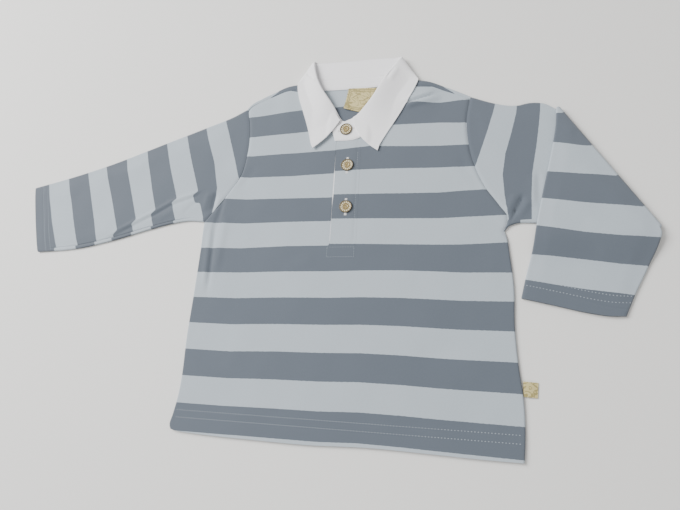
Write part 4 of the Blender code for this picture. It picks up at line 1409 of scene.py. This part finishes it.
def buildButton():
    # a disc whose top is stepped in and down by insets, then drilled
    facts = buttonFacts
    thick = facts["thick"] * mm
    disc = addCylinder(facts["sides"], facts["radius"] * mm, thick, (0, 0, thick / 2))
    bpy.ops.object.mode_set(mode="EDIT")
    bpy.ops.mesh.select_mode(type="FACE")
    pickFaces(disc, lambda face: face.normal.z > 0.9 and len(face.verts) > 8)
    for width, drop in facts["steps"]:
        insetFaces(width, drop)
    pickFaces(disc, lambda face: face.normal.z < -0.9 and len(face.verts) > 8)
    insetFaces(*facts["underStep"])
    bpy.ops.object.mode_set(mode="OBJECT")
    applyModifier(disc, "softEdges", "BEVEL", width=facts["softEdge"] * mm, segments=3, limit_method="ANGLE",
                  angle_limit=math.radians(28))
    for angle in (45, 135, 225, 315):
        x, y = axesAt(angle)[0] * facts["holeAt"] * mm
        drill = addCylinder(16, facts["hole"] * mm, 4 * thick, (x, y, 0))
        applyModifier(disc, "hole", "BOOLEAN", operation="DIFFERENCE", object=drill)
        bpy.data.objects.remove(drill)
    while disc.data.uv_layers:
        disc.data.uv_layers.remove(disc.data.uv_layers[0])
    places = disc.data.uv_layers.new(name="cloth")
    for loop in disc.data.loops:
        places.data[loop.index].uv = disc.data.vertices[loop.vertex_index].co.xy
    disc.data.materials.append(buttonResin())
    selectOnly(disc)
    bpy.ops.object.shade_smooth_by_angle(angle=math.radians(35))
    return disc


def placeButtons():
    pattern = buildButton()
    made = []
    for name, (node, x, y, under, lies, turned) in buttonPlaces.items():
        place, normal = onCloth(under, x, y)
        button = addObject(name, pattern.data.copy())
        turn = Matrix.Rotation(math.radians(turned), 4, "Z")
        lean = normal.to_track_quat("Z", "Y").to_matrix().to_4x4()
        button.data.transform(Matrix.Translation(place + normal * buttonFacts["shank"] * mm) @ lean @ turn)
        made.append(declarePiece(button, node))
    bpy.data.objects.remove(pattern)
    return made


buttons = placeButtons()
print("buttons:", len(buttons))


# sewing

stitchFacts = {
    # length, width and height of one stitch, and how far apart they are
    "twinNeedle": (1.35, 0.6, 0.4, 2.5),
    "lockstitch": (1.7, 0.28, 0.22, 2.4),
    "satin": (1.3, 0.34, 0.34, 0.36),
    "anchor": (2.3, 0.5, 0.5, 0.45),
}
sewingFacts = {
    "hem": (-146, 146.6),  # between these places across
    "cuffEnds": 3,  # points of the cuff's line left free at both ends
    "buttonhole": 16.4,  # length over its bars, and half its width
    "buttonholeHalf": 0.8,
    "bar": 2.4,
    "threadHalf": 0.18,  # from the middle of a button's hole to its threads
    "twist": 0.4,  # length of the thread's twist
    "shade": 0.8,
}
threadTints = {"paleThread": "#A9B3BB", "whiteThread": "#EFEDEA", "goldThread": "#8E7B4E"}


def sewingThread(name):
    # spun polyester thread: matt, lightly fuzzy
    material, add = newMaterial(name, Roughness=0.7, Sheen_Weight=0.2)
    place = add("TexCoord").node.outputs["Object"]
    tint = toLinear(threadTints[name])
    dark = shaded(tint, sewingFacts["shade"])
    dress(material, mottled(add, place, sewingFacts["twist"], 1, dark, tint))
    return material


paleThread = (sewingThread("paleThread"), "striped_jersey")
whiteThread = (sewingThread("whiteThread"), "white_cotton")
goldThread = (sewingThread("goldThread"), "button")


def evenSteps(path, pitch):
    # points and directions a stitch apart along a line
    path = np.array(path, float)
    lengths = np.concatenate([[0], np.cumsum(np.linalg.norm(np.diff(path, axis=0), axis=1))])
    steps = np.arange(pitch / 2, lengths[-1], pitch)
    points, ahead, behind = (stacked(*(np.interp(steps + beyond, lengths, line) for line in path.T[:2]))
                             for beyond in (0, 0.2, -0.2))
    return points, ahead - behind


def stitchShape(kind):
    # one stitch: a grain whose ends dive into the cloth
    length, width, height = (value * mm for value in stitchFacts[kind][:3])
    bpy.ops.object.select_all(action="DESELECT")
    bpy.ops.mesh.primitive_uv_sphere_add(segments=6, ring_count=5, radius=0.5)
    grain = bpy.context.object
    bpy.ops.object.mode_set(mode="EDIT")
    bpy.ops.mesh.select_all(action="SELECT")
    bpy.ops.transform.rotate(value=math.pi / 2, orient_axis="Y", center_override=(0, 0, 0))
    bpy.ops.transform.resize(value=(length, width, height), center_override=(0, 0, 0))
    bpy.ops.object.mode_set(mode="OBJECT")
    corners = np.array([v.co for v in grain.data.vertices])
    corners[:, 2] -= 0.5 * height * (2 * corners[:, 0] / length) ** 2
    faces = [tuple(face.vertices) for face in grain.data.polygons]
    bpy.data.objects.remove(grain)
    return corners, faces


def sew(name, under, thread, runs):
    # runs of stitches joined to one piece; a run is a kind and the points and directions of its stitches
    corners, faces = [], []
    for kind, points, directions in runs:
        shape, shapeFaces = stitchShape(kind)
        for (x, y), direction in zip(points, directions):
            place, normal = onCloth(under, x, y)
            if place is None:
                continue
            along = Vector((*direction, 0)).normalized()
            side = normal.cross(along).normalized()
            first = len(corners) * len(shape)
            corners.append(shape @ np.array([side.cross(normal), side, normal]) + np.array(place))
            faces += [tuple(first + i for i in face) for face in shapeFaces]
    material, slot = thread
    mesh = bpy.data.meshes.new(name)
    mesh.from_pydata(np.concatenate(corners), [], faces)
    mesh.materials.append(material)
    mesh.shade_smooth()
    return declarePiece(addObject(name, mesh))


def rowAlong(kind, path):
    return (kind, *evenSteps(path, stitchFacts[kind][3]))


def runOf(kind, points, direction):
    points = np.array(points)
    return kind, points, np.broadcast_to(direction, points.shape)


def cuffRun(plan, distance):
    # a line across the sleeve at a distance from its cuff
    ends = sewingFacts["cuffEnds"]
    up = unit(plan[-12] - plan[-1])
    return rowAlong("twinNeedle", (plan[-1] + up * distance)[ends:-ends])


def buttonholeRuns(x, y, direction):
    # a narrow oval of satin stitches with a bar at each end
    along, side = axesAt(direction)
    half, reach = sewingFacts["buttonholeHalf"], sewingFacts["buttonhole"] / 2
    at = np.arange(-reach, reach, stitchFacts["satin"][3])
    bars = np.arange(0, sewingFacts["bar"], stitchFacts["anchor"][3])
    return [runOf("satin", [(x, y) + along * a + side * s * half for s in (-1, 1) for a in at], side),
            runOf("anchor", [(x, y) + along * s * (reach - b) for s in (-1, 1) for b in bars], side)]


def sewAll():
    bpy.context.view_layer.update()
    hem, cuff = hemFacts["rows"]["body"], hemFacts["rows"]["cuff"]
    runs = {
        "hemStitches": (frontPanel, paleThread, [
            rowAlong("twinNeedle", stacked(np.linspace(*sewingFacts["hem"], 60), height)) for height in hem]),
        "straightCuffStitches": (sleeveRight, paleThread, [cuffRun(straightPlan, row) for row in cuff]),
        "foldedCuffStitches": (sleeveLeft, paleThread, [cuffRun(foldedPlan, row) for row in cuff]),
        "placketStitches": (placketOver, paleThread, [
            rowAlong("lockstitch", placketFacts["box"]), rowAlong("lockstitch", placketFacts["topstitch"]),
            runOf("anchor", placketFacts["tack"], (1, 0))]),
    }
    for name, (node, x, y, under, lies, turned) in buttonPlaces.items():
        runs[name.replace("Button", "Buttonhole")] = (under, whiteThread, buttonholeRuns(x, y, lies))
    reach, half = buttonFacts["holeAt"] * math.sqrt(0.5), sewingFacts["threadHalf"]
    for button, (name, (node, x, y, under, lies, turned)) in zip(buttons, buttonPlaces.items()):
        along, side = axesAt(turned)
        points = [(x, y) + side * (s * reach + d) for s in (-1, 1) for d in (-half, half)]
        runs[name + "Thread"] = (button, goldThread, [runOf("anchor", points, along)])
    return {name: sew(name, *facts) for name, facts in runs.items()}


sewn = sewAll()
print("sewing:", len(sewn), "pieces")
